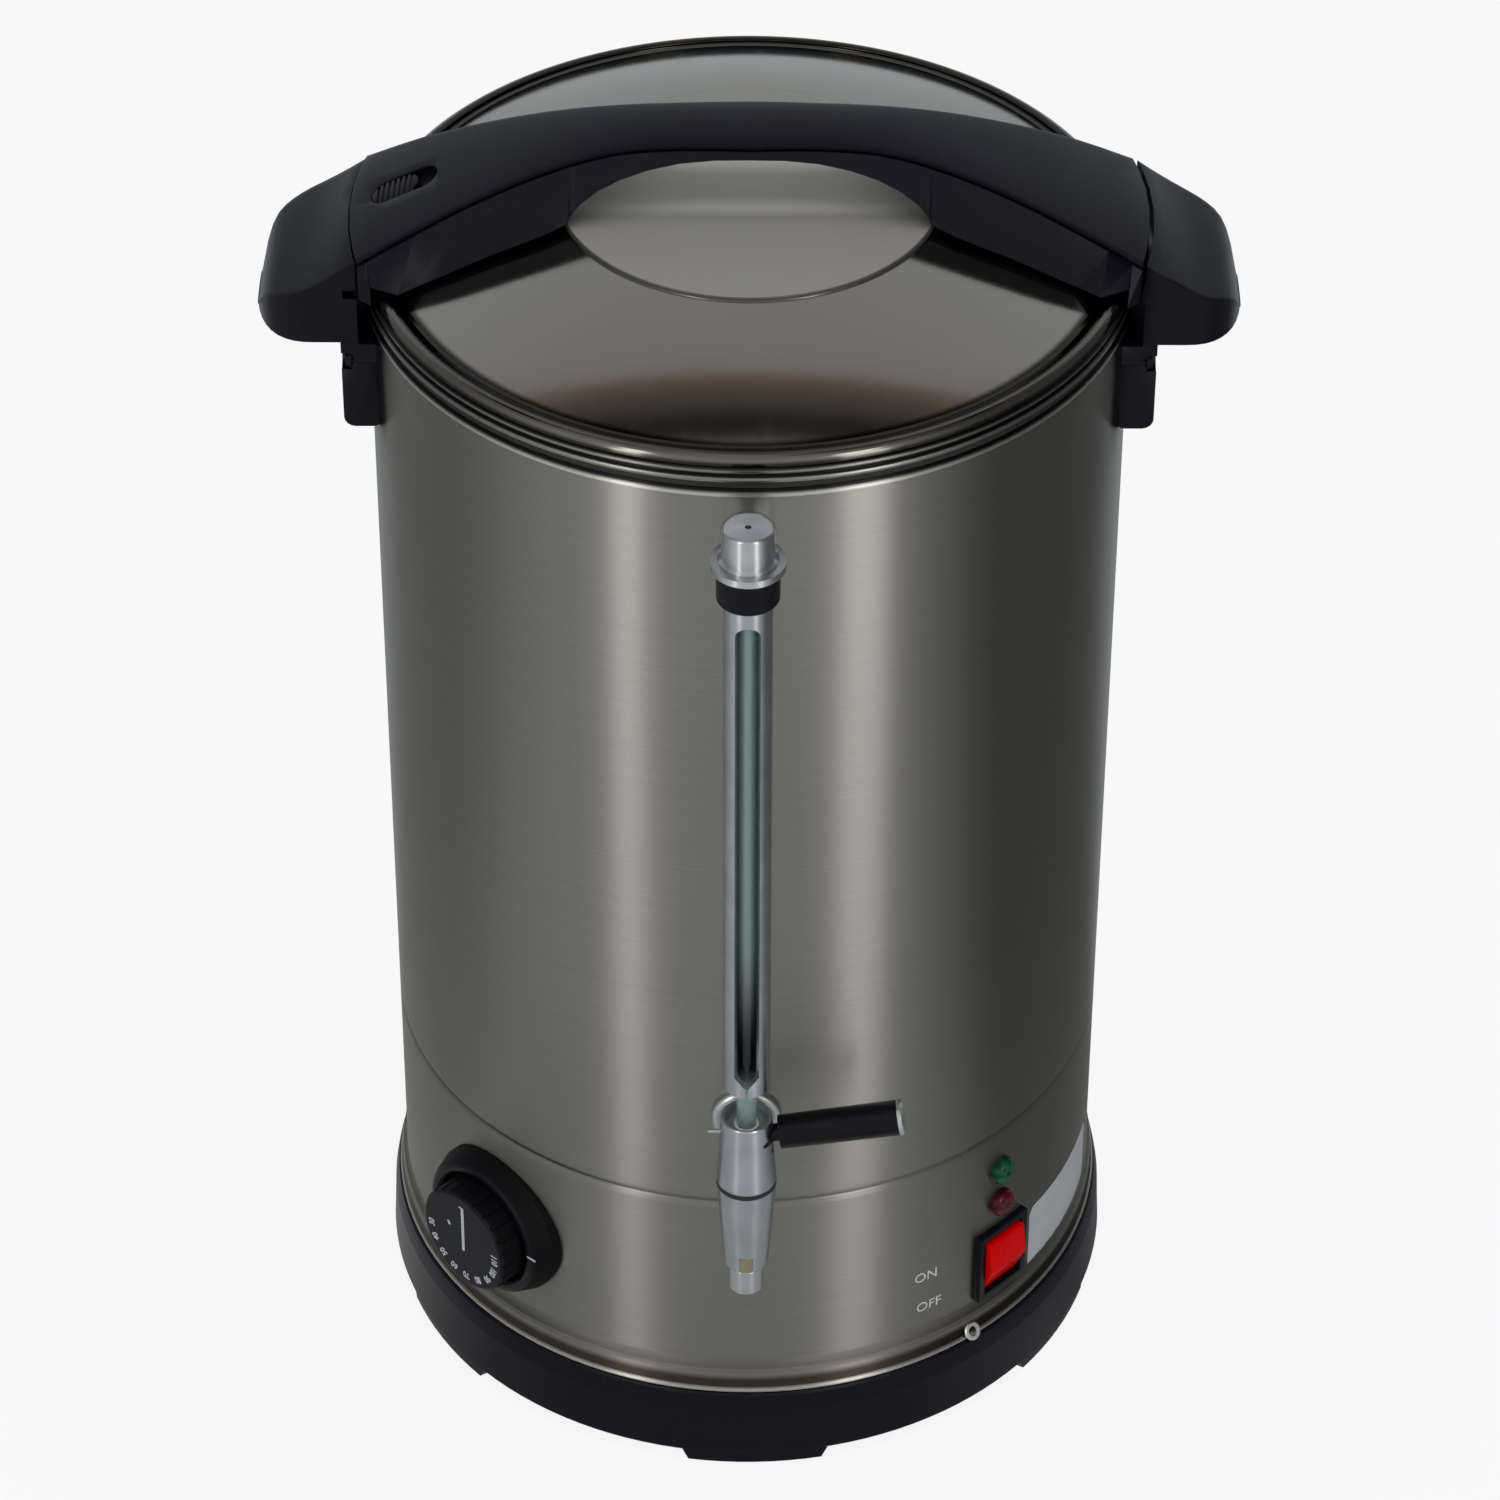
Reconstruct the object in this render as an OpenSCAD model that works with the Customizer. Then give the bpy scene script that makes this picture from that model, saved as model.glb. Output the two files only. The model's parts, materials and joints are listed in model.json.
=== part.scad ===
// Hot water urn, about 20 litres, as separate parts that fit together.
// Millimetres, Z up, the tap faces -Y, z = 0 is the table under the feet.

/* [Node] */
// Part to draw, or all of them

/* [Body] */
// Radius of the outer shell
shell_r = 150; // [148:0.5:152]
// Sheet thickness of the shell
sheet_t = 1; // [0.8:0.1:1.2]
// Height where the shell wall ends under its top bead
wall_top = 506.8; // [495:0.1:515]
// Height of the black base ring
ring_top = 39.1; // [37:0.1:41]
// Height of the seam pressed round the shell
seam_z = 146.5; // [143:0.5:148]
// Depth of that seam
seam_d = 0.4; // [0.2:0.05:0.5]
// Gap between the shell and the tank's inside
tank_gap = 7; // [6:0.5:9]
// Height of the tank floor
tank_floor = 150; // [149:0.5:156]
// Number of feet
feet = 6; // [6:1:6]
// Width of one foot at the table
foot_w = 57; // [44:1:60]
// Height of one foot
foot_h = 6.6; // [5:0.1:7]

/* [Lid] */
// Radius of the flat disc in the middle of the lid
disc_r = 75; // [70:1:80]
// Height of that disc over the tank mouth
disc_rise = 25; // [23:0.5:27]
// Step round the disc
disc_step = 1; // [0.5:0.1:1.5]
// Distance of the valley inside the rolled edge from the tank's inside
valley_in = 2; // [1:0.5:3]
// Height of the valley over the tank mouth
valley_rise = 3.5; // [3:0.1:4]
// Sheet thickness of the lid
lid_t = 1; // [0.8:0.1:1.2]
// Gap between the lid and the handle's legs
leg_gap = 2.2; // [2:0.1:3]
// Half length of the finger opening
finger_a = 70.5; // [66:0.5:73]
// Height of the finger opening
finger_b = 23.6; // [22:0.2:24]
// Half height of the groove between the handle's two shells
groove = 0.9; // [0.7:0.1:1]
// Reach of the handle's left end past the shell
end_left_out = 6; // [5.5:0.1:6.1]
// Reach of its right end past the shell
end_right_out = 6.1; // [5:0.1:6.3]

/* [Lock] */
// Length of the lock's recess
lock_len = 29; // [28:0.5:31]
// Width of the lock's recess
lock_w = 14.4; // [13:0.2:16]
// Length of the slider
slider_len = 20; // [19:0.5:21]
// Play round the slider
slider_play = 0.4; // [0.3:0.05:0.5]

/* [Side handles] */
// Gap between the lid handle's left end and the side handle
gap_left = 0.6; // [0.5:0.1:1]
// Gap between its right end and the other side handle
gap_right = 1.7; // [0.5:0.1:2]
// Reach of the side handles past the shell
wing_out = 43.1; // [40:0.1:46]
// Half width of the handles
wing_w = 37.5; // [36:0.5:38]
// Wall of the handles
wing_wall = 3.5; // [3:0.1:4.5]
// Reach of the brackets under them past the shell
leg_out = 9.2; // [8.5:0.1:10]
// Height of the brackets
leg_h = 39; // [36:0.5:44]

/* [Sight glass] */
// Distance of the column from the shell
column_out = 30; // [29:0.5:31]
// Outer radius of the glass
glass_r = 4; // [3.8:0.1:4.2]
// Wall of the glass
glass_t = 1; // [0.8:0.1:1.4]
// Outer radius of the guard tube
guard_r = 9.45; // [9:0.05:9.8]
// Wall of the guard tube
guard_t = 1; // [0.8:0.1:1.2]
// Width of the slot in the guard
slot_w = 9.8; // [9:0.1:10.5]

/* [Tap] */
// Height of the tap's inlet
inlet_z = 196; // [195:0.5:197]
// Radius of the washer on the shell
washer_r = 14.5; // [14:0.1:15.5]
// Upward tilt of the lever
lever_tilt = 9.5; // [7:0.5:10]
// Radius of the lever's grip at its end
grip_r = 7.2; // [7:0.1:7.4]
// Distance from the tap's axis to the end of the grip
grip_end = 61.5; // [56:0.5:66]
// Gap between the lever and its pin
pin_play = 0.05; // [0.02:0.01:0.1]

/* [Controls] */
// Direction of the dial from the front, toward the right
dial_az = -44.5; // [-48:0.5:-40]
// Height of the dial
dial_z = 97.5; // [94:0.5:100]
// Radius of the knob
knob_r = 24.5; // [23:0.1:25.5]
// Height of the knob's face over the shell
knob_face = 20.5; // [18:0.5:22]
// Direction of the switch
switch_az = 45.8; // [43:0.1:48]
// Height of the switch
switch_z = 75; // [72:0.5:77]
// Direction of the lamps
lamp_az = 45.5; // [43:0.1:48]
// Radius of a lamp
lamp_r = 6.3; // [5.8:0.1:6.8]
// Heights of the two lamps
lamp_zs = [124.5, 106.5];

/* [Hidden] */
$fn = 72;
eps = 0.01;
seat = 0.05;                          // face to face pieces are this far apart
body_y = 17;                          // the body's axis sits this far behind the frame's centre
bead_r = 2.1;
gasket_z = wall_top + 2 * bead_r;
gasket_h = 2.2;
rim_z = gasket_z + gasket_h;
rim_h = 3.8;
lip_h = 3;
mouth_z = rim_z + rim_h + lip_h;      // the tank's mouth, where the lid rests
tank_r = shell_r - tank_gap;
tank_t = 1;
tank_out = tank_r + tank_t;
valley_r = tank_r - valley_in;
end_left = shell_r + end_left_out;
end_right = shell_r + end_right_out;
wing_left = end_left + gap_left;
wing_right = end_right + gap_right;
wing_reach = shell_r + wing_out;
leg_reach = shell_r + leg_out;
slope = (disc_rise - disc_step - valley_rise) / (valley_r - disc_r);
cone_deg = atan(slope);
column_r = shell_r + column_out;

steel = [0.72, 0.72, 0.7];
chrome = [0.86, 0.87, 0.9];
black = [0.13, 0.13, 0.15];
silicone = [0.85, 0.85, 0.82];
copper = [0.7, 0.5, 0.35];

// Stands a piece on the shell: local Z points outward, local Y up.
module on_shell(az, z) {
    rotate([0, 0, az]) translate([0, -shell_r, z]) rotate([90, 0, 0]) children();
}

module at_column() {
    translate([0, -column_r, 0]) children();
}

// A ring of sheet or moulding, from radius and height pairs.
module turned(points) {
    rotate_extrude() polygon(points);
}

module tube(r_out, r_in, z0, z1) {
    translate([0, 0, z0]) difference() {
        cylinder(h = z1 - z0, r = r_out);
        translate([0, 0, -1]) cylinder(h = z1 - z0 + 2, r = r_in);
    }
}

module rod(r, z0, z1) {
    translate([0, 0, z0]) cylinder(h = z1 - z0, r = r);
}

module cone(r0, r1, z0, z1) {
    translate([0, 0, z0]) cylinder(h = z1 - z0, r1 = r0, r2 = r1);
}

// Points of an arc from angle a0 to a1, n steps.
function arc(c, r, a0, a1, n = 6) = [for (i = [0 : n]) let (a = a0 + (a1 - a0) * i / n)
    c + r * [cos(a), sin(a)]];

// ---- body ----

screw_y = 35;                         // handle screws, either side of the handle's middle
screw_z = mouth_z - 31;
screw_hole = 2.1;

module outer_shell() {
    color(steel) difference() {
        rotate_extrude() polygon(concat(
            [[shell_r - sheet_t, wall_top + 2 * bead_r], [shell_r - sheet_t, ring_top + 0.9],
             [shell_r - 3, ring_top + 0.9], [shell_r - 3, ring_top + 0.1]],
            arc([shell_r + 2.1, ring_top + 1.5], 1.4, -90, 60),
            arc([shell_r + 3.5, ring_top + 15.6], 3.5, 240, 180, 3),
            [[shell_r, seam_z - 0.6], [shell_r - seam_d, seam_z], [shell_r, seam_z + 0.6],
             [shell_r, wall_top]],
            arc([shell_r - 0.1, wall_top + bead_r], bead_r, -60, 90)));
        at_tank_holes() cylinder(h = 4 * (tank_gap + 8), r = shank_r + 0.1, center = true);
        on_shell(dial_az, dial_z) cylinder(h = 12, r = 5.2, center = true);
        on_shell(switch_az, switch_z) cube([25.6, 33.2, 12], center = true);
        for (z = lamp_zs) on_shell(lamp_az, z) cylinder(h = 12, r = 5.1, center = true);
        on_shell(180, gland_z) cylinder(h = 12, r = gland_r + 0.1, center = true);
        for (x = [-1, 1], y = [-1, 1]) translate([x * shell_r, y * screw_y, screw_z])
            rotate([0, 90, 0]) cylinder(h = 30, r = screw_hole, center = true);
    }
}

// The two holes through shell and tank, for the tap and for the top of the sight glass.
shank_r = 10.5;                       // a half-inch pipe thread
top_z = mouth_z - 30.7;
module at_tank_holes() {
    for (z = [inlet_z, top_z]) translate([0, -shell_r, z]) rotate([90, 0, 0]) children();
}

// The tank's wall, rolled outward over the gasket at the top.
module inner_tank() {
    color(steel) difference() {
        rotate_extrude() polygon(concat(
            [[tank_r, tank_floor - base_t], [tank_out, tank_floor - base_t], [tank_out, rim_z]],
            arc([shell_r + 0.1, rim_z + rim_h / 2], rim_h / 2, -90, 60),
            arc([shell_r - 0.4, rim_z + rim_h + lip_h / 2], lip_h / 2, -50, 90),
            [[tank_r, mouth_z]]));
        at_tank_holes() cylinder(h = 4 * (tank_gap + 8), r = shank_r + 0.1, center = true);
    }
}

// Its base is a disc welded in.
base_t = 1.2;
module tank_base() {
    color(steel) rod(tank_r - seat, tank_floor - base_t, tank_floor);
}

module rim_gasket() {
    color(black) tube(shell_r + 0.5, tank_out + seat, gasket_z + seat, rim_z - seat);
}

foot_out = shell_r + 5.5;
foot_turn = 1.5;                        // the front foot is turned this far to the right
ledge_z = 12;
screw_ring = shell_r - 11;
module at_screws() {
    for (i = [0 : feet - 1]) rotate([0, 0, i * 360 / feet + foot_turn + 30])
        translate([0, -screw_ring, 0]) children();
}

module base_ring() {
    top = ring_top;
    color(black) union() {
        difference() {
            turned([
                [shell_r - 2, top], [shell_r + 3.4, top], [shell_r + 4.3, top - 0.9],
                [shell_r + 5, top - 4], [shell_r + 5.9, top - 9],
                [shell_r + 7, foot_h + 0.9], [shell_r + 6.4, foot_h],
                [shell_r + 1, foot_h], [shell_r + 1, ledge_z], [shell_r - 16, ledge_z],
                [shell_r - 16, ledge_z + 3], [shell_r + 1, ledge_z + 3], [shell_r + 1, top - 4],
                [shell_r - 2, top - 4]]);
            at_screws() rod(2 + seat, ledge_z - 1, ledge_z + 4);
        }
        for (i = [0 : feet - 1]) rotate([0, 0, i * 360 / feet + foot_turn]) intersection() {
            tube(foot_out, shell_r - 1, 0, foot_h + 2);
            translate([0, -shell_r - 10, 0]) rotate([-90, 0, 0]) linear_extrude(20)
                polygon([[-foot_w / 2, 0], [foot_w / 2, 0], [foot_w / 2 + 4, -foot_h - 2],
                         [-foot_w / 2 - 4, -foot_h - 2]]);
        }
    }
}

plate_z = ledge_z - seat;             // top of the base plate, under the ring's ledge
module base_plate() {
    color(steel) difference() {
        union() {
            rod(shell_r - 1, plate_z - 1, plate_z);
            rod(shell_r - 30, plate_z - 2.4, plate_z);
        }
        at_screws() rod(2.2, plate_z - 5, plate_z + 5);
        for (x = [-2 : 2], y = [-1 : 1]) translate([x * 22, y * 60, plate_z])
            cube([6, 34, 12], center = true);
    }
}

module base_screws() {
    color(steel) at_screws() {
        rod(2, plate_z - 2, plate_z + 6);
        cone(3.2, 4, plate_z - 3.4, plate_z - 1 - seat);
    }
}

// ---- heating and control parts inside ----

plate_r = tank_r - 43;
plate_h = 7;
under_plate = tank_floor - base_t - seat - plate_h;
module heating_plate() {
    color(steel) rod(plate_r, under_plate, tank_floor - base_t - seat);
}

module heating_element() {
    r = 4;
    loop_r = plate_r - 20;
    z = under_plate - r - seat;
    color(copper) union() {
        translate([0, 0, z]) rotate([0, 0, 100]) rotate_extrude(angle = 340) translate([loop_r, 0])
            circle(r = r);
        for (a = [100, 80]) rotate([0, 0, a]) translate([loop_r, 0, 0]) rod(r, z - 16, z);
    }
}

module thermal_cutout() {
    z = under_plate - seat;
    color(black) union() {
        rod(12, z - 9, z);
        rod(2.5, z - 12, z - 9);
        translate([-14, -3, z - 2]) cube([28, 6, 2]);
    }
}

shaft_r = 3;
module thermostat() {
    color(black) on_shell(dial_az, dial_z) difference() {
        union() {
            translate([-17, -17, -44]) cube([34, 34, 28]);
            rod(5, -16, 2.6);
        }
        rod(shaft_r + pin_play, -40, 3);
    }
}

module thermostat_bulb() {
    r = 3;
    length = 80;
    z = under_plate - r - seat;
    color(copper) translate([-length / 2, 30, z]) rotate([0, 90, 0]) {
        cylinder(h = length, r = r);
        translate([0, 0, -5]) cylinder(h = 5 + eps, r1 = 1, r2 = r);
    }
}

gland_z = 70;
gland_r = 8;
module terminal_block() {
    color(silicone) difference() {
        translate([-24, shell_r - 66, plate_z + seat]) cube([48, 18, 16]);
        for (i = [-2 : 2]) translate([i * 9, shell_r - 57, plate_z + 8]) rod(2.4, 0, 20);
    }
}

module cord_gland() {
    color(black) on_shell(180, gland_z) difference() {
        union() {
            rod(gland_r, -16, 2);
            rod(12, 0.6, 5);
            cone(10, 7.5, 5, 10);
        }
        rod(4.5, -20, 20);
    }
}

module gland_nut() {
    color(black) on_shell(180, gland_z) difference() {
        translate([0, 0, -6.8]) cylinder(h = 5, r = 13, $fn = 6);
        rod(gland_r + seat, -10, 2);
    }
}

// ---- dial, switch and lamps ----

bezel_floor = 3;
bezel_r = knob_r + 10;
well_r = knob_r + 2;
module dial_bezel() {
    color(black) difference() {
        on_shell(dial_az, dial_z) turned(concat([[5.1, -6], [bezel_r, -6], [bezel_r, 0.8]],
            arc([bezel_r - 5.5, 7], 3, 20, 90, 4),
            [[well_r + 1.1, 10], [well_r, 9], [well_r, bezel_floor], [5.1, bezel_floor]]));
        translate([0, 0, dial_z]) cylinder(h = 90, r = shell_r + seat, center = true, $fn = 360);
    }
}

// The knob's grip is fluted round its side.
flutes = 24;
module dial_knob() {
    z0 = bezel_floor + 0.5;
    color(black) on_shell(dial_az, dial_z) difference() {
        turned(concat([[0, z0], [knob_r - 0.6, z0], [knob_r, z0 + 0.8]],
            arc([knob_r - 1.8, knob_face - 1.8], 1.8, 0, 90, 4), [[0, knob_face]]));
        rod(shaft_r + 0.02, z0 - 1, 13 + seat);
        for (i = [0 : flutes - 1]) rotate([0, 0, i * 360 / flutes])
            translate([knob_r + 0.9, 0, z0 + 5]) cylinder(h = 30, r = 1.6);
    }
}

module dial_shaft() {
    color(steel) on_shell(dial_az, dial_z) rod(shaft_r, -36, 13);
}

rocker_z = -3;                        // the rocker's axis, behind the shell's surface
rocker_throw = 18;
module switch_housing() {
    color(black) difference() {
        on_shell(switch_az, switch_z) difference() {
            union() {
                translate([-14.5, -18.25, -2]) cube([29, 36.5, 4.8]);
                translate([-12.6, -16.4, -26]) cube([25.2, 32.8, 25]);
            }
            translate([-11.2, -15.2, -12]) cube([22.4, 30.4, 20]);
            translate([0, 0, rocker_z]) rotate([0, 90, 0]) cylinder(h = 24.4, r = 1.5 + seat,
                center = true);
        }
        difference() {
            translate([0, 0, switch_z]) cylinder(h = 60, r = shell_r + seat, center = true);
            on_shell(switch_az, switch_z) translate([-12.6, -16.4, -30]) cube([25.2, 32.8, 40]);
        }
    }
}

module switch_rocker() {
    color([0.75, 0.08, 0.08]) on_shell(switch_az, switch_z) translate([0, 0, rocker_z])
        union() {
            rotate([rocker_throw / 2, 0, 0]) rotate([0, 90, 0]) rotate([0, 0, 90])
                linear_extrude(21.6, center = true)
                    polygon([[-13.8, -2.5], [-13.8, 5.5], [0, 9.2], [13.8, 5.5], [13.8, -2.5],
                             [4, -4.5], [-4, -4.5]]);
            rotate([0, 90, 0]) cylinder(h = 24, r = 1.5, center = true);
        }
}

module lamp(z, c) {
    color(c) difference() {
        on_shell(lamp_az, z) union() {
            turned(concat([[0, -1], [lamp_r, -1], [lamp_r, 1.6]],
                arc([lamp_r - 3, 1.6], 3, 0, 90, 5), [[0, 4.6]]));
            rod(5, -16, 0);
            for (x = [-2, 2]) translate([x - 0.4, -1.2, -22]) cube([0.8, 2.4, 7]);
        }
        difference() {
            translate([0, 0, z]) cylinder(h = 40, r = shell_r + seat, center = true);
            on_shell(lamp_az, z) rod(5, -40, 10);
        }
    }
}

// ---- lid ----

function dome_z(r) = mouth_z + (r < disc_r ? disc_rise
    : r < valley_r ? disc_rise - disc_step - (r - disc_r) * slope : valley_rise + 1);

roll_r = 4;
roll_c = valley_r + 5;
module lid_dome() {
    low = mouth_z + 0.3;
    color(chrome) difference() {
        rotate_extrude() polygon(concat(
            [[0, mouth_z + disc_rise], [disc_r - 0.6, mouth_z + disc_rise],
             [disc_r, mouth_z + disc_rise - disc_step],
             [valley_r, mouth_z + valley_rise]],
            arc([roll_c, mouth_z + 0.5], roll_r, 130, 3, 10),
            [[roll_c + roll_r, low], [valley_r - 2, low],
             [valley_r - 2, mouth_z + valley_rise + 2 * slope - lid_t / cos(cone_deg)],
             [disc_r, mouth_z + disc_rise - disc_step - lid_t / cos(cone_deg)],
             [0, mouth_z + disc_rise - disc_step - lid_t]]));
        for (s = [-1, 1]) on_lid(s) rod(2.15, -5, 5);
    }
}

module lid_skirt() {
    color(steel) turned([
        [valley_r - 3.5, mouth_z + 0.3], [valley_r - 2 - seat, mouth_z + 0.3],
        [valley_r - 2 - seat, mouth_z - 2.6], [valley_r, mouth_z - 3.6],
        [valley_r, mouth_z - 12], [valley_r - 1, mouth_z - 12],
        [valley_r - 1, mouth_z - 4.2], [valley_r - 3.5, mouth_z - 2.6]]);
}

// The handle's line over the lid, at equal steps from the middle to its end:
// the height of its groove over the tank mouth, its half width there, and the flare below.
knot_step = end_left / 6;
groove_rise = [53.4, 53.3, 51.5, 45.7, 37, 26.3, 13.9];
half_width = [16, 15.3, 16.2, 20.7, 26.4, 32.6, 37.6];
flare_out = [1.2, 1.6, 5, 10.3, 9.6, 9, 1.5];
crown_rise = [1.7, 1.7, 1.6, 1.5, 1.3, 1.1, 0.9];

function knot(v, k) = k < 0 ? v[-k] : k < len(v) ? v[k] : 2 * v[len(v) - 1] - v[2 * len(v) - 2 - k];
function along(v, x) = let (t = abs(x) / knot_step, k = floor(t), f = t - k, a = knot(v, k - 1),
    b = knot(v, k), c = knot(v, k + 1), d = knot(v, k + 2))
    (2 * b + (c - a) * f + (2 * a - 5 * b + 4 * c - d) * f * f
     + (3 * b - a - 3 * c + d) * f * f * f) / 2;
function groove_z(x) = mouth_z + along(groove_rise, x);

// Planar sections in the middle bend gradually to the round ends.
hook_x = shell_r + 1.8;               // past this the handle's ends hook down outside the rim
skirt_x = 143;                        // where the skirt under the ends is widest
leg_x = finger_a * sqrt(1 - pow(leg_gap / finger_b, 2));
function bend(x, y, r_end) = let (k = max(0, abs(x) - leg_x) / (r_end - leg_x))
    sign(x) * (abs(x) - k * (r_end - sqrt(r_end * r_end - y * y)));
function under_z(x, y) = abs(x) < leg_x
    ? mouth_z + disc_rise + finger_b * sqrt(1 - pow(x / finger_a, 2))
    : abs(x) > hook_x ? mouth_z - 2 : dome_z(norm([x, y])) + leg_gap;
function flare(x) = along(flare_out, x) + 8 * max(0, 1 - pow((abs(x) - skirt_x) / 12, 2));
stations = concat(
    [-end_left, -hook_x - 0.1],
    [for (i = [0 : 7]) -hook_x + (hook_x - leg_x) * i / 8],
    [for (i = [-8 : 8]) leg_x * sin(i * 90 / 8)],
    [for (i = [1 : 8]) leg_x + (hook_x - leg_x) * i / 8],
    [hook_x + 0.1, end_right]);
function end_of(x) = x < 0 ? end_left : end_right;

// Top points from one side to the other, then bottom points back.
function row(x, ys, zs) = [for (i = [0 : len(ys) - 1]) [bend(x, ys[i], end_of(x)), ys[i], zs[i]]];

module loft(rings) {
    n = len(rings[0]);
    m = len(rings);
    h = n / 2;
    polyhedron(points = [for (r = rings) each r], faces = concat(
        [for (k = [0 : h - 2], t = [0, 1]) t == 0 ? [k + 1, k, n - 1 - k] : [k + 1, n - 1 - k, n - 2 - k]],
        [for (k = [0 : h - 2], t = [0, 1]) let (o = (m - 1) * n)
            t == 0 ? [o + k, o + k + 1, o + n - 1 - k] : [o + k + 1, o + n - 2 - k, o + n - 1 - k]],
        [for (j = [0 : m - 2], i = [0 : n - 1], t = [0, 1])
            let (a = j * n + i, b = j * n + (i + 1) % n)
            t == 0 ? [a, b, b + n] : [a, b + n, a + n]]));
}

spine = 2;                            // the groove's depth
function base_ring_at(x) = let (
    z = groove_z(x), w = along(half_width, x), lo = z - groove, hi = z + groove - 0.12,
    s = w - spine, b = w + flare(x),
    ys = [-w, -s, -s, -s / 2, 0, s / 2, s, s, w],
    yb = [-b, 1.5 - b, 3 - b, -s / 2, 0, s / 2, b - 3, b - 1.5, b],
    zb = [for (y = yb) under_z(x, y)])
    concat(row(x, ys, [lo, lo, hi, hi, hi, hi, hi, lo, lo]),
           [for (i = [8 : -1 : 0]) let (y = yb[i])
               [bend(x, y, end_of(x)), y, zb[i] + (i == 0 || i == 8 ? 1.5 : 0)]]);

module handle_base() {
    color(black) difference() {
        loft([for (x = stations) base_ring_at(x)]);
        at_lock() translate([0, 0, -4]) stadium(lock_len, lock_w, 12);
        for (s = [-1, 1]) on_lid(s) rod(1.9, -2, 13);
    }
}

fans = [-1, -0.93, -0.75, -0.4, 0, 0.4, 0.75, 0.93, 1];
function cover_ring_at(x) = let (z = groove_z(x) + groove, w = along(half_width, x),
    c = along(crown_rise, x), side = 1.1, ys = [for (f = fans) f * w],
    r = concat(row(x, ys, [for (f = fans) z + side + c * (1 - pow(abs(f), 2.6))]),
               [for (i = [8 : -1 : 0]) [bend(x, ys[i], end_of(x)), ys[i], z]])) r;

module handle_cover() {
    color(black) difference() {
        loft([for (x = stations) cover_ring_at(x)]);
        at_lock() translate([0, 0, -8]) stadium(lock_len, lock_w, 16);
    }
}

// Frame on the lid's cone where a leg is screwed down.
pad_x = valley_r - 37;
module on_lid(s) {
    translate([s * pad_x, 0, dome_z(pad_x)]) rotate([0, s * cone_deg, 0]) children();
}

module handle_pads() {
    color(black) for (s = [-1, 1]) on_lid(s) tube(8, 2.15, seat, leg_gap * cos(cone_deg) - 0.4);
}

module lid_screws() {
    color(steel) for (s = [-1, 1]) on_lid(s) {
        rod(1.85, -lid_t - 1, 12);
        cone(3.2, 4, -lid_t - 2.6, -lid_t - 0.25);
    }
}

lock_x = 21.5 - end_left;
lock_tilt = atan((groove_z(lock_x + 10) - groove_z(lock_x - 10)) / 20);
lock_travel = lock_len - slider_len - 2 * slider_play;
module at_lock() {
    translate([lock_x, 0, groove_z(lock_x) + groove + 2.1]) rotate([0, -lock_tilt, 0]) children();
}

module stadium(len, w, h) {
    for (s = [-1, 1]) translate([s * (len - w) / 2, 0, 0]) cylinder(h = h, r = w / 2);
    translate([(w - len) / 2, -w / 2, 0]) cube([len - w, w, h]);
}

module lock_slider() {
    w = lock_w - 2 * slider_play;
    color(black) at_lock() translate([(slider_len - lock_len) / 2 + slider_play, 0, 0])
        difference() {
            translate([0, 0, -4 + 0.2]) stadium(slider_len, w, 3.4);
            for (i = [-3 : 3]) translate([i * 2.4 - 0.6, -w, -1]) cube([1.2, 2 * w, 3]);
        }
}

// ---- side handles ----

wing_low = mouth_z - 23;
plan_l = 23.1;                        // length of the handles' rounded ends
plan_c = wing_reach - plan_l;
plan_power = 2.4;
nose_l = 11.1;                        // length over which their tops fall away
function wing_half(x, inset) = let (t = max(0, x - plan_c) / (plan_l + 0.2 - inset))
    (wing_w - inset) * pow(max(0.05, 1 - pow(t, plan_power)), 1 / plan_power);
function ridge_z(x, lift) = let (d = x - shell_r - 2, n = max(0, x - wing_reach + nose_l) / nose_l)
    max(wing_low + 2, mouth_z + 14.6 - 0.7 * d + 0.004 * d * d - 17 * pow(n, 4)
        + lift * max(0, 1 - d / 22));
function steps(from, to, n) = [for (i = [0 : n]) from + (to - from) * sin(90 * i / n)];
function wing_x(x, y, r) = let (k = max(0, 1 - (x - r) / 14)) x - k * (r - sqrt(r * r - y * y));
function wing_ring(x, r, lift) = let (w = wing_half(x, 0), z = ridge_z(wing_x(x, wing_w, r), lift),
    ys = [for (f = fans) f * w], step = min(0.7, (z - wing_low) / 4),
    yb = [-w + step, -w + step / 2, -w + 2, -0.4 * w, 0, 0.4 * w, w - 2, w - step / 2, w - step],
    zb = [z - step, wing_low + 1, wing_low, wing_low, wing_low, wing_low, wing_low,
          wing_low + 1, z - step])
    concat([for (i = [0 : 8]) [wing_x(x, ys[i], r), ys[i], z + 1 * (1 - pow(abs(fans[i]), 2.6))]],
           [for (i = [8 : -1 : 0]) [wing_x(x, yb[i], r), yb[i], zb[i]]]);
function pocket_ring(x) = let (w = wing_half(x, wing_wall),
    z = max(wing_low + 2, ridge_z(x + wing_wall, 0) - 2), ys = [-w, -w / 2, 0, w / 2, w])
    concat([for (y = ys) [x, y, z]], [for (i = [4 : -1 : 0]) [x, ys[i], wing_low - 3]]);

module bracket(face_r) {
    leg_z = wing_low - leg_h;
    in_x = shell_r - 6.5;
    r_c = 4.5;
    difference() {
        translate([0, wing_w - 0.5, 0]) rotate([90, 0, 0]) linear_extrude(2 * wing_w - 1)
            polygon(concat(arc([in_x + r_c, leg_z + r_c], r_c, 180, 270, 4),
                arc([leg_reach - r_c, leg_z + r_c], r_c, 270, 360, 4),
                [[leg_reach, wing_low + 6], [in_x, wing_low + 6]]));
        translate([0, 0, leg_z - 5]) cylinder(h = leg_h + 20, r = shell_r + seat);
        translate([0, 0, wing_low]) cylinder(h = 20, r = face_r);
    }
}

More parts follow.
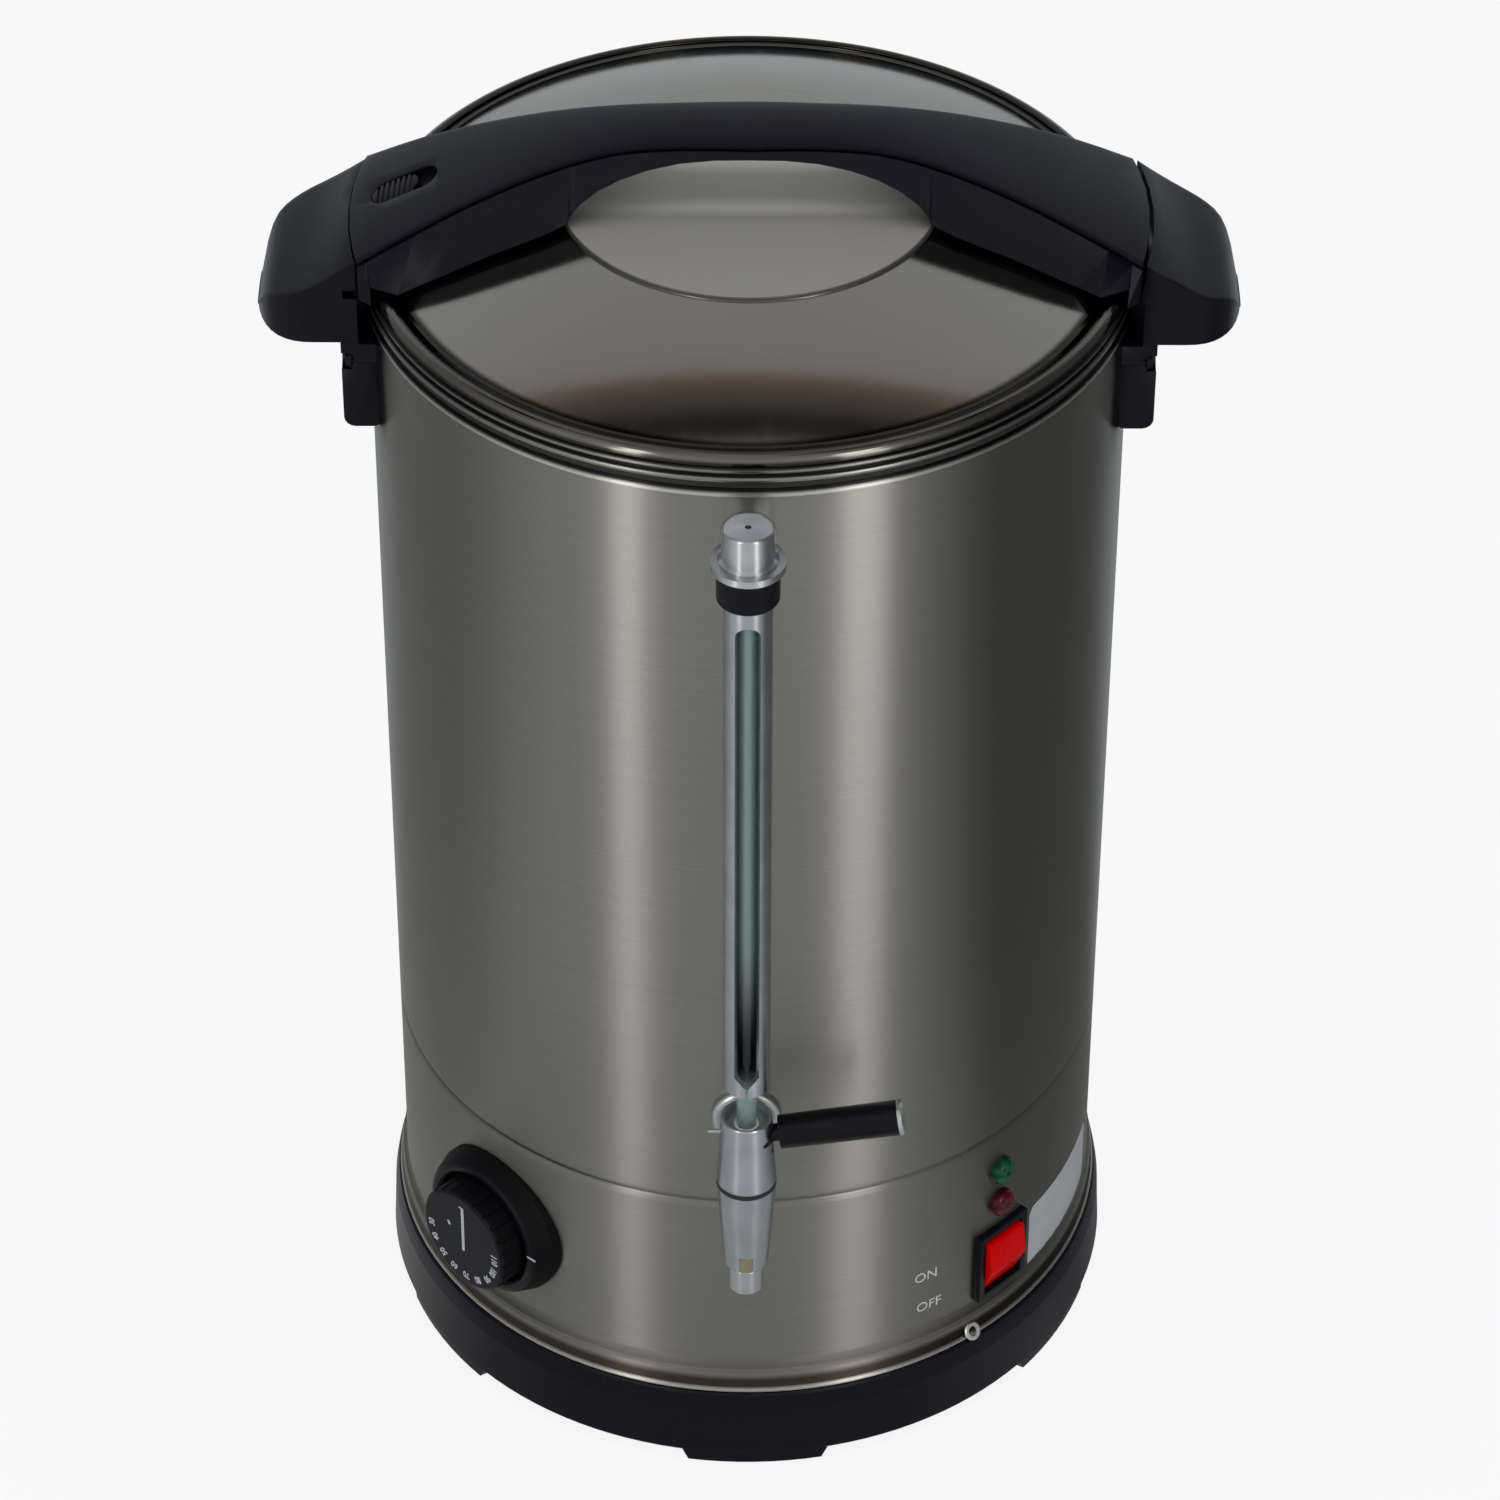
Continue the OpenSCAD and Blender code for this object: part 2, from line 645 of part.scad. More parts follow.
module side_handle(face_r, slot, lift) {
    difference() {
        union() {
            loft([for (x = steps(face_r, wing_reach, 13)) wing_ring(x, face_r, lift)]);
            bracket(face_r);
        }
        loft([for (x = steps(leg_reach + 4.3, wing_reach - wing_wall - 0.1, 9)) pocket_ring(x)]);
        for (s = [-1, 1]) translate([0, s * screw_y, screw_z]) rotate([0, 90, 0]) {
            translate([0, 0, shell_r - 10]) cylinder(h = leg_out + 20, r = screw_hole);
            translate([0, 0, leg_reach - 4]) cylinder(h = 10, r = 4.2);
        }
        if (slot) translate([face_r - 6, -wing_w - 2, mouth_z - 2]) cube([7, 8, 4]);
    }
}

module side_handle_left() {
    color(black) mirror([1, 0, 0]) side_handle(wing_left, true, 0);
}

module side_handle_right() {
    color(black) side_handle(wing_right, false, 1.5);  // it stands a little higher by the lid
}

module handle_screws() {
    color(chrome) for (x = [0, 1], s = [-1, 1]) mirror([x, 0, 0]) translate([0, s * screw_y, screw_z])
        rotate([0, 90, 0]) {
            rod(2, shell_r - 8, leg_reach - 3.9);
            cone(3.6, 2.6, leg_reach - 4 + seat, leg_reach - 1.6);
        }
}

// ---- sight glass ----

cup_z = inlet_z + 26.5;               // the rim of the tap's cup
cup_floor = cup_z - 3.9;
glass_z = cup_floor - 3;
guard_z = cup_z + 17.5;
collar_z = mouth_z - 38;
collar_h = 14.5;
collar_r = 12.1;
flange_z = collar_z + collar_h + 0.5;
flange_r = 14.3;
shank_in = tank_gap + 15;             // how far the shanks reach in past the shell
top_bore = 3.4;

module sight_glass() {
    color([0.6, 0.85, 0.82, 0.5]) at_column() tube(glass_r, glass_r - glass_t, glass_z, collar_z + 9);
}

module glass_seals() {
    color(silicone) at_column() {
        tube(5, glass_r + seat, glass_z, cup_floor - 0.1);
        tube(5.9, glass_r + seat, collar_z + 4 + seat, collar_z + 7);
    }
}

module glass_guard() {
    slot_top = collar_z - 7.5;
    slot_low = guard_z + 10;
    color(chrome) at_column() difference() {
        tube(guard_r, guard_r - guard_t, guard_z, collar_z + 2.8);
        translate([-slot_w / 2, -20, slot_low]) cube([slot_w, 20, slot_top - slot_low - slot_w / 2]);
        translate([0, -20, slot_top - slot_w / 2]) rotate([-90, 0, 0]) cylinder(h = 20, r = slot_w / 2);
        translate([0, 0, slot_low + eps]) rotate([90, 0, 0]) linear_extrude(20)
            polygon([[-slot_w / 2, 0], [0, -6], [slot_w / 2, 0]]);
        translate([-0.6, -20, guard_z - 1]) cube([1.2, 20, 12]);
    }
}

module guard_collar() {
    r = collar_r;
    color(black) at_column() {
        turned(concat([[glass_r + 0.3, collar_z + 4], [glass_r + 0.3, collar_z + 3],
            [guard_r + seat, collar_z + 3], [guard_r + seat, collar_z]],
            arc([r - 1.5, collar_z + 1.5], 1.5, -90, 0, 4),
            [[r, collar_z + collar_h], [6, collar_z + collar_h], [6, collar_z + 4]]));
    }
}

// The neck is a round bar that flares into the flange over the collar.
module top_fitting() {
    color(chrome) difference() {
        union() {
            at_column() {
                tube(flange_r, 5.5, flange_z + seat, flange_z + 3);
                tube(5.9, glass_r + 0.15, collar_z + 7.1, flange_z + 1);
            }
            translate([0, -shell_r + shank_in, top_z]) rotate([90, 0, 0])
                cylinder(h = column_out + shank_in - 5.5, r = shank_r);
            intersection() {
                translate([0, -shell_r - 4, 0]) rotate([90, 0, 0]) translate([0, top_z, 0])
                    cylinder(h = column_out - 4, r1 = shank_r, r2 = flange_r);
                at_column() translate([-20, -4, flange_z + seat]) cube([40, 40, 3 - seat]);
            }
        }
        at_column() rod(collar_r + 0.3, collar_z - 10, collar_z + collar_h + seat);
        translate([0, -shell_r + shank_in + 1, top_z]) rotate([90, 0, 0])
            cylinder(h = column_out + shank_in - 1, r = top_bore);
        at_column() rod(top_bore, collar_z, mouth_z + 10);
    }
}

module top_nut() {
    color(steel) hex_nut(top_z);
}

module hex_nut(z) {
    translate([0, -tank_r + 1.2, z]) rotate([-90, 0, 0]) difference() {
        cylinder(h = 6, r = 17, $fn = 6);
        translate([0, 0, -1]) cylinder(h = 8, r = shank_r + seat);
    }
}

module vent_cap() {
    base = flange_z + 3 + seat;
    color(chrome) at_column() difference() {
        turned(concat([[0, base], [11.5, base], [11.5, base + 0.8], [10.2, base + 2]],
            arc([8.3, base + 13.4], 1.4, 20, 90, 4), [[0, base + 14.8]]));
        rod(1.25, base - 1, base + 20);
        rod(5, base - 1, base + 11);
    }
}

// ---- tap ----

body_low = inlet_z - 6.5;
chamber_r = 7.4;
stem_r = 2;
pivot_x = 8;
pivot_z = cup_z - 11 + pivot_x * tan(lever_tilt);
hub_r = 2.7;
cavity_low = inlet_z + 9;
cavity_top = cup_z - 7.9;
nose_drop = 5.84;

module tap_body() {
    color(chrome) difference() {
        union() {
            at_column() turned([[0, body_low], [12.2, body_low], [12.2, body_low + 1], [11.2, cavity_low],
                [10.9, cup_z - 12], [10.4, cup_z - 0.5], [10, cup_z], [0, cup_z]]);
            translate([0, -shell_r + shank_in, inlet_z]) rotate([90, 0, 0])
                cylinder(h = shank_in + 9, r = shank_r);
            translate([0, -shell_r, inlet_z]) rotate([90, 0, 0]) cylinder(h = column_out, r = 6.4);
            at_column() translate([0, 9.5, 0]) rod(3, inlet_z, cup_floor);
            at_column() translate([-9.5, 0, cup_z - 8.5]) rotate([0, -90, 0]) cylinder(h = 5.9, r = 0.9);
        }
        at_column() {
            rod(9, cup_floor, cup_z + 5);
            rod(5.1, glass_z - 0.1, cup_z);
            rod(8.6, cavity_low, cavity_top);
            rod(stem_r + pin_play, inlet_z, cavity_low + 1);
            rod(chamber_r, body_low + 1, cavity_low - 3.5);
            rod(4.5, body_low - 1, inlet_z);
            translate([0, -4.5, cavity_low + 0.6]) cube([20, 9, cavity_top - cavity_low - 0.6]);
            translate([5.75, -4.5, cavity_low + 0.6]) cube([20, 9, cup_floor - cavity_low - 1.6]);
            translate([pivot_x, 0, pivot_z]) rotate([90, 0, 0]) cylinder(h = 30, r = 1.2, center = true);
            translate([0, 9.6, 0]) rod(0.9, inlet_z, glass_z + 1);
            translate([0, 9.6, glass_z + 1]) rotate([90, 0, 0]) cylinder(h = 6, r = 0.7);
        }
        translate([0, -shell_r + 30, inlet_z]) rotate([90, 0, 0]) cylinder(h = column_out + 30, r = 5);
    }
}

module tap_washer() {
    color(chrome) difference() {
        translate([0, -shell_r + 3, inlet_z]) rotate([90, 0, 0]) rotate_extrude() polygon(concat(
            [[shank_r + seat, 0], [washer_r, 0], [washer_r, 4.4]],
            arc([washer_r - 2.4, 4.6], 2.4, 0, 90, 4), [[shank_r + seat, 7]]));
        cylinder(h = 600, r = shell_r + seat, $fn = 360);
    }
}

module tap_seals() {
    color(silicone) for (z = [inlet_z, top_z])
        translate([0, -tank_r + 1.1, z]) rotate([90, 0, 0]) tube(14, shank_r + seat, -0.05, 0.35);
}

module tap_nut() {
    color(steel) hex_nut(inlet_z);
}

spout_top = body_low - 2.5;
module tap_ring() {
    color(black) at_column() tube(12.2, 9.5 + seat, spout_top + seat, body_low - seat);
}

module tap_spout() {
    low = inlet_z - 67;
    color(chrome) at_column() difference() {
        turned(concat([[0, body_low - seat], [9.5, body_low - seat], [9.5, spout_top],
            [12.2, spout_top], [9.1, low + 16]],
            arc([7.6, low + 15.6], 1.5, 0, -80, 4),
            [[4.8, low + 12.4], [4.6, low + 0.4], [4.2, low], [0, low]]));
        cone(3.4, 4.5, low - eps, body_low);
        translate([-2.8, -9.9, low + 14.2]) cube([5.6, 2, 9]);
    }
}

module lever_pin() {
    color(steel) at_column() translate([pivot_x, 0, pivot_z]) rotate([90, 0, 0])
        cylinder(h = 14, r = 1.15, center = true);
}

// Frame at the pivot with X along the lever.
module at_lever() {
    at_column() translate([pivot_x, 0, pivot_z]) rotate([0, -lever_tilt, 0]) children();
}

grip_from = 13.4 - pivot_x;
grip_to = grip_end - pivot_x;
module bar(r0, r1, x0, x1) {
    translate([x0, 0, 0]) rotate([0, 90, 0]) cylinder(h = x1 - x0, r1 = r0, r2 = r1);
}

module tap_lever() {
    nose_r = 1.3;
    color(chrome) difference() {
        union() {
            at_lever() {
                rotate([90, 0, 0]) cylinder(h = 8.6, r = hub_r, center = true);
                bar(3.6, 3.6, 2, grip_from);
                bar(3, 3, grip_from - 1, grip_to);
            }
            at_column() for (s = [-1, 1]) translate([0, s * 3.4, pivot_z - nose_drop]) {
                rotate([90, 0, 0]) cylinder(h = 1.8, r = nose_r, center = true);
                translate([0, -0.9, -0.9]) cube([pivot_x + 0.6, 1.8, 1.6]);
                translate([pivot_x - 2.3, -0.9, -0.9]) cube([2.9, 1.8, nose_drop + 0.9]);
            }
        }
        at_lever() rotate([90, 0, 0]) cylinder(h = 20, r = 1.15 + pin_play, center = true);
    }
}

module lever_grip() {
    color(black) at_lever() difference() {
        bar(6.9, grip_r, grip_from, grip_to);
        bar(3 + seat, 3 + seat, grip_from - 1, grip_to + 1);
    }
}

module lever_cap() {
    color(chrome) at_lever() translate([grip_to + seat, 0, 0]) rotate([0, 90, 0]) rotate_extrude()
        polygon(concat([[0, 0], [grip_r + 0.1, 0], [grip_r + 0.1, 0.5]],
            arc([grip_r - 1.9, 0.5], 2, 0, 90, 5), [[0, 2.9]]));
}

head_z = pivot_z - nose_drop + 1.3 + 0.3;
module valve_stem() {
    color(chrome) at_column() {
        rod(stem_r, body_low + 3 + seat, head_z + 1);
        rod(4.3, head_z, head_z + 1.8);
    }
}

module valve_seal() {
    color(silicone) at_column() rod(6.3, body_low + 1 + seat, body_low + 3);
}

// ---- drawing ----

module place() {
    translate([0, body_y, 0]) children();
}

place() outer_shell();
place() inner_tank();
place() tank_base();
place() rim_gasket();
place() base_ring();
place() base_plate();
place() base_screws();
place() heating_plate();
place() heating_element();
place() thermal_cutout();
place() thermostat();
place() thermostat_bulb();
place() terminal_block();
place() cord_gland();
place() gland_nut();
place() dial_bezel();
place() dial_knob();
place() dial_shaft();
place() switch_housing();
place() switch_rocker();
place() lamp(lamp_zs[0], [0.1, 0.6, 0.25]);  // lamp_green
place() lamp(lamp_zs[1], [0.5, 0.05, 0.05]);  // lamp_red
place() side_handle_left();
place() side_handle_right();
place() handle_screws();
place() lid_dome();
place() lid_skirt();
place() handle_base();
place() handle_cover();
place() handle_pads();
place() lid_screws();
place() lock_slider();
place() tap_body();
place() tap_washer();
place() tap_seals();
place() tap_nut();
place() tap_ring();
place() tap_spout();
place() lever_pin();
place() tap_lever();
place() lever_grip();
place() lever_cap();
place() valve_stem();
place() valve_seal();
place() sight_glass();
place() glass_seals();
place() glass_guard();
place() guard_collar();
place() top_fitting();
place() top_nut();
place() vent_cap();
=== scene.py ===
import json
import math
import bpy
from mathutils import Matrix, Vector

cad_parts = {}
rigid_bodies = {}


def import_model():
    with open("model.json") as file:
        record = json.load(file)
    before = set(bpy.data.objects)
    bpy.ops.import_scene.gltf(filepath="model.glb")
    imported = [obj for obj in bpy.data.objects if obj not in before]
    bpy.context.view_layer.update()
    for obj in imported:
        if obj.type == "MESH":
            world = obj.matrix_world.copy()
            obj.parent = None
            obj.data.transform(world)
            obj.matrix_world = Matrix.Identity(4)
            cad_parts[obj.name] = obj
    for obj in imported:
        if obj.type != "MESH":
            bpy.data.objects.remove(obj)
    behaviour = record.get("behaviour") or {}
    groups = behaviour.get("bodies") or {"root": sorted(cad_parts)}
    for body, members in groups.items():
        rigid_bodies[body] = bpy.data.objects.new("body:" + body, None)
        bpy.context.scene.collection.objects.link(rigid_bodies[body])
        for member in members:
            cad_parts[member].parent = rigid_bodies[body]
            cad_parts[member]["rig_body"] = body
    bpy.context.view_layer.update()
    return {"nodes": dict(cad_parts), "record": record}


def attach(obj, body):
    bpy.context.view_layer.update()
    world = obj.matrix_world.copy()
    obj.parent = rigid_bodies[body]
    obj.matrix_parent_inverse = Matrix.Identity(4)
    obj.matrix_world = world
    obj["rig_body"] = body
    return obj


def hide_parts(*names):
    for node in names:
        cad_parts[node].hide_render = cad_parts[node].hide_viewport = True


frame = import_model()
print("urn loaded:", len(frame["nodes"]), "parts")

# metres, with the front towards -Y; the body's axis stands a little behind the origin
bodyAxis = Vector((0, 0.017, 0))
shellOut = 0.15

cameraSet = {"place": (0.000893, -1.858604, 1.767796), "downTilt": 38.692, "roll": 0.192,
             "sensor": 36, "lens": 137.36, "seesTo": 30}


def makeCamera():
    data = bpy.data.cameras.new("camera")
    data.sensor_width = cameraSet["sensor"]
    data.lens = cameraSet["lens"]
    data.clip_end = cameraSet["seesTo"]
    camera = bpy.data.objects.new("camera", data)
    bpy.context.scene.collection.objects.link(camera)
    turn = Matrix.Rotation(math.radians(90 - cameraSet["downTilt"]), 4, "X")
    turn = turn @ Matrix.Rotation(math.radians(cameraSet["roll"]), 4, "Z")
    camera.matrix_world = Matrix.Translation(cameraSet["place"]) @ turn
    bpy.context.scene.camera = camera


makeCamera()
print("camera stands")


class Wire:
    # a socket that takes + - * / < and >, and adds its own Math nodes
    def __init__(self, tree, socket):
        self.tree, self.socket = tree, socket

    def maths(self, operation, *terms):
        node = self.tree.nodes.new("ShaderNodeMath")
        node.operation = operation
        for place, term in zip(node.inputs, terms):
            if isinstance(term, Wire):
                self.tree.links.new(term.socket, place)
            else:
                place.default_value = term
        return Wire(self.tree, node.outputs[0])

    def __add__(self, other):
        return self.maths("ADD", self, other)

    def __radd__(self, other):
        return self.maths("ADD", other, self)

    def __sub__(self, other):
        return self.maths("SUBTRACT", self, other)

    def __rsub__(self, other):
        return self.maths("SUBTRACT", other, self)

    def __mul__(self, other):
        return self.maths("MULTIPLY", self, other)

    def __rmul__(self, other):
        return self.maths("MULTIPLY", other, self)

    def __truediv__(self, other):
        return self.maths("DIVIDE", self, other)

    def __rtruediv__(self, other):
        return self.maths("DIVIDE", other, self)

    def __neg__(self):
        return self.maths("MULTIPLY", self, -1.0)

    def __gt__(self, other):
        return self.maths("GREATER_THAN", self, other)

    def __lt__(self, other):
        return self.maths("LESS_THAN", self, other)

    def size(self):
        return self.maths("ABSOLUTE", self)

    def root(self):
        return self.maths("SQRT", self)

    def wave(self):
        return self.maths("SINE", self)

    def bell(self):
        # 1 at 0, falling away on both sides
        return self.maths("EXPONENT", -(self * self))

    def step(self, low, high):
        # 0 below low, 1 above high, smooth between
        node = self.tree.nodes.new("ShaderNodeMapRange")
        node.interpolation_type = "SMOOTHSTEP"
        self.tree.links.new(self.socket, node.inputs["Value"])
        node.inputs["From Min"].default_value = low
        node.inputs["From Max"].default_value = high
        return Wire(self.tree, node.outputs[0])

    def band(self, start, full, fade, end):
        # 1 from full to fade, smooth to 0 at start and end
        return self.step(start, full) * (1 - self.step(fade, end))


def tone(red, green, blue):
    # screen colour 0-255 to the linear colour a shader wants
    def one(v):
        v = v / 255
        return v / 12.92 if v <= 0.04045 else ((v + 0.055) / 1.055) ** 2.4
    return (one(red), one(green), one(blue), 1)


def paler(colour, by):
    return [value + by for value in colour]


class Finish:
    # one material being made, or the world's shader
    def __init__(self, name, world=None):
        self.material = world or bpy.data.materials.new(name)
        self.material.use_nodes = True
        self.tree = self.material.node_tree
        self.tree.nodes.clear()
        self.coords = self.node("TexCoord", output="Generated" if world else "Object")

    def node(self, kind, settings=None, values=None, output=0):
        node = self.tree.nodes.new("ShaderNode" + kind)
        for key, value in (settings or {}).items():
            if key == "stops":
                while len(node.color_ramp.elements) < len(value):
                    node.color_ramp.elements.new(0.5)
                for element, (place, colour) in zip(node.color_ramp.elements, value):
                    element.position, element.color = place, colour
            else:
                setattr(node, key, value)
        for key, value in (values or {}).items():
            if isinstance(value, Wire):
                self.tree.links.new(value.socket, node.inputs[key])
            else:
                node.inputs[key].default_value = value
        return Wire(self.tree, node.outputs[output] if node.outputs else None)

    def blend(self, amount, first, second, kind="MIX"):
        # a Mix node has its colours on sockets 6 and 7, and gives the mixed one on 2
        settings = {"data_type": "RGBA", "blend_type": kind}
        return self.node("Mix", settings, {0: amount, 6: first, 7: second}, output=2)

    def parts(self):
        # x, y and z of a point on the piece
        node = self.node("SeparateXYZ", values={0: self.coords}).socket.node
        return [Wire(self.tree, output) for output in node.outputs]

    def spots(self, scale, detail=3, rough=0.55, stretch=(1, 1, 1), shift=(0, 0, 0)):
        # noise, 0 to 1; stretch gives its own scale along x, y and z
        where = self.node("Mapping", values={"Vector": self.coords, "Location": shift, "Scale": stretch})
        return self.node("TexNoise", values={"Vector": where, "Scale": scale, "Detail": detail,
                                             "Roughness": rough})

    def bump(self, height, strength, distance, under=None):
        values = {"Height": height, "Strength": strength, "Distance": distance}
        if under:
            values["Normal"] = under
        return self.node("Bump", values=values)

    def close(self, **values):
        names = {"base": "Base Color", "rough": "Roughness", "metal": "Metallic", "normal": "Normal",
                 "clear": "Transmission Weight", "bend": "IOR", "grain": "Anisotropic",
                 "grainTurn": "Anisotropic Rotation", "shine": "Specular IOR Level"}
        shader = self.node("BsdfPrincipled", values={names[k]: v for k, v in values.items()})
        self.node("OutputMaterial", values={"Surface": shader})
        return self.material


def fromAxis(x, y):
    # how far a point stands from the body's axis
    back = y - bodyAxis.y
    return (x * x + back * back).root()


# colours are screen colours, heights and radii are in metres, and four numbers are a band's fade in and out
bodySteelSet = {"dark": (139, 137, 131), "colour": (152, 150, 144), "rough": 0.38, "grain": 1.0, "turn": 0.25,
                "fine": (4, 4, 7200), "broad": (2, 2, 1500),
                "weld": (104, 98, 92), "weldHalf": 0.0016,
                "foot": (66, 57, 45), "footRightShade": (22, 18, 13), "footShadeBand": (0.0418, 0.0424, 0.0452, 0.0492),
                "lip": (196, 194, 188), "lipTop": (0.0412, 0.0418), "fillet": 0.0528, "filletRough": 0.35,
                "bead": (214, 212, 206), "beadFrom": (0.5066, 0.5078),
                "creviceShade": (12, 11, 10), "creviceFrom": (0.5086, 0.5103),
                "seam": (44, 41, 37), "seamUp": 0.1465, "seamWide": 0.0021, "seamDeep": 0.00062,
                "shadeLineUp": 0.0011, "lineWide": 0.000894427}


def bodySteel():
    # brushed round the body: lines that are long sideways and fine in height
    plan = bodySteelSet
    f = Finish("bodySteel")
    x, y, z = f.parts()
    fine = f.spots(1, 4, 0.7, plan["fine"])
    broad = f.spots(1, 3, 0.6, plan["broad"], (4, 1, 7))
    streak = fine * 0.55 + broad * 0.3 + f.spots(7, 2) * 0.15
    base = f.blend(streak.step(0.3, 0.7), tone(*plan["dark"]), tone(*plan["colour"]))
    weld = (x.size() < plan["weldHalf"]) * (y > 0.1)   # the sheet's joint runs down the back
    base = f.blend(weld * 0.35, base, tone(*plan["weld"]))
    # painted shade where the wall meets the base ring, most at the right, with a painted highlight on the lip
    # under it
    foot = z.band(*plan["footShadeBand"])
    base = f.blend(foot * 0.94, base, tone(*plan["foot"]))
    base = f.blend(foot * x.step(0.06, 0.1) * 0.85, base, tone(*plan["footRightShade"]))
    base = f.blend(1 - z.step(*plan["lipTop"]), base, tone(*plan["lip"]))
    # a painted highlight on the shell's top roll under the rim, and painted shade in the gap above it
    base = f.blend(z.step(*plan["beadFrom"]), base, tone(*plan["bead"]))
    base = f.blend(z.step(*plan["creviceFrom"]) * 0.97, base, tone(*plan["creviceShade"]))
    # the pressed seam is a groove, with painted shade as a dark line along its upper side, stronger to the
    # left
    seam = z - plan["seamUp"]
    groove = (seam / plan["seamWide"]).bell()
    line = ((seam - plan["shadeLineUp"]) / plan["lineWide"]).bell()
    base = f.blend(line * (0.42 + (-x).step(0.03, 0.08) * 0.4), base, tone(*plan["seam"]))
    fillet = 1 - (z - plan["fillet"]).size().step(0.002, 0.004)
    rough = plan["rough"] + (streak - 0.5) * 0.1 + weld * 0.05 + fillet * plan["filletRough"]
    normal = f.bump(groove * -plan["seamDeep"], 1.0, 1.0)
    normal = f.bump(fine * 0.7 + broad * 0.3, 0.1, 0.00005, normal)
    return f.close(base=base, rough=rough, metal=1.0, normal=normal, grain=plan["grain"],
                   grainTurn=plan["turn"])


lidSteelSet = {"dark": (156, 153, 146), "colour": (166, 163, 156), "rough": 0.1,
               "middle": 0.108, "dome": 1.9, "coneEnd": (0.1425, 0.1445),
               "disc": (130, 129, 126), "discOut": 0.0752, "discRough": 0.48, "discEdgeShade": (62, 60, 57),
               "glow": (192, 190, 184), "glowBand": (-0.003, 0.006, 0.045, 0.06),
               "roll": (116, 114, 109), "rollFrom": (0.1462, 0.1476),
               "valley": (34, 30, 26), "valleyBand": (0.1378, 0.1405, 0.1462, 0.1476),
               "hemShade": (20, 19, 18), "hemFrom": (0.1485, 0.1495), "hemTop": (0.521, 0.5226)}


def lidSteel():
    # bright pressed sheet, polished in circles about its middle; its cone swells a little
    plan = lidSteelSet
    f = Finish("lidSteel")
    x, y, z = f.parts()
    ring = fromAxis(x, y)
    lines = f.node("TexNoise", {"noise_dimensions": "1D"},
                   {"W": ring * 2600, "Scale": 1.0, "Detail": 4, "Roughness": 0.7})
    smear = f.spots(16, 4, 0.6)
    wipe = f.spots(1, 3, 0.6, (90, 14, 40), (2, 5, 1)).step(0.5, 0.75)
    disc = 1 - ring.step(plan["discOut"] - 0.0008, plan["discOut"] + 0.0008)
    discEdgeShade = 1 - (ring - plan["discOut"] - 0.0001).size().step(0.0007, 0.0013)
    cone = (1 - disc) * (1 - ring.step(*plan["coneEnd"]))
    base = f.blend(smear, tone(*plan["dark"]), tone(*plan["colour"]))
    base = f.blend(disc * 0.9, base, tone(*plan["disc"]))
    glow = disc * y.band(*plan["glowBand"])   # light that comes past the handle
    base = f.blend(glow * 0.9, base, tone(*plan["glow"]))
    # painted shade: the rolled rim is dimmed, the valley inside it is dark, and the hem under the roll nearly
    # black
    base = f.blend(ring.step(*plan["rollFrom"]), base, tone(*plan["roll"]))
    base = f.blend(ring.band(*plan["valleyBand"]) * 0.9, base, tone(*plan["valley"]))
    hemShade = ring.step(*plan["hemFrom"]) * (1 - z.step(*plan["hemTop"]))
    base = f.blend(hemShade * 0.85, base, tone(*plan["hemShade"]))
    # painted shade along the disc's stepped edge, in place of its highlight
    base = f.blend(discEdgeShade * 0.75, base, tone(*plan["discEdgeShade"]))
    rough = plan["rough"] + smear * 0.05 + (lines - 0.5) * 0.05 + wipe * 0.03 + disc * plan["discRough"]
    off = ring - plan["middle"]
    normal = f.bump(off * off * cone * -plan["dome"], 1.0, 1.0)
    normal = f.bump(lines, 0.06, 0.00004, normal)
    normal = f.bump(f.spots(9, 2), 0.05, 0.0016, normal)   # the sheet isn't quite true
    return f.close(base=base, rough=rough, metal=1 - disc * 0.85, normal=normal)


tankSteelSet = {"dark": (164, 163, 158), "colour": (178, 177, 173), "lime": (205, 202, 192), "rough": 0.24,
                "flange": (24, 23, 22), "flangeFrom": (0.1465, 0.1475), "flangeLine": 0.517,
                "below": (14, 14, 14), "belowEnd": (0.5135, 0.5145),
                "above": (18, 17, 16), "aboveFrom": (0.5187, 0.5195)}


def tankSteel():
    # the drawn tank, with a little lime from the water; painted shade shows as dark rings in its flanged rim
    plan = tankSteelSet
    f = Finish("tankSteel")
    x, y, z = f.parts()
    lines = f.spots(1, 4, 0.7, (10, 10, 2200))
    base = f.blend(f.spots(10, 3), tone(*plan["dark"]), tone(*plan["colour"]))
    lime = f.spots(24, 5, 0.65, shift=(3, 3, 3)).step(0.5, 0.85)
    base = f.blend(lime * 0.1, base, tone(*plan["lime"]))
    # painted shade on the flanged rim: a dark line at flangeLine with lighter shade round it, nearly black
    # below and dark above
    flange = fromAxis(x, y).step(*plan["flangeFrom"])
    clear = (z - plan["flangeLine"]).size().step(0.0004, 0.0011)
    base = f.blend(flange * (1 - clear * 0.55), base, tone(*plan["flange"]))
    base = f.blend(flange * (1 - z.step(*plan["belowEnd"])), base, tone(*plan["below"]))
    base = f.blend(flange * z.step(*plan["aboveFrom"]) * 0.9, base, tone(*plan["above"]))
    rough = plan["rough"] + (lines - 0.5) * 0.12 + lime * 0.04
    return f.close(base=base, rough=rough, metal=1.0, normal=f.bump(lines, 0.1, 0.00005), grain=0.4)


castSet = {"tap": {"colour": (188, 193, 199), "rough": 0.34, "skin": 2600},
           "bright": {"colour": (200, 202, 204), "rough": 0.34, "skin": 1800}}


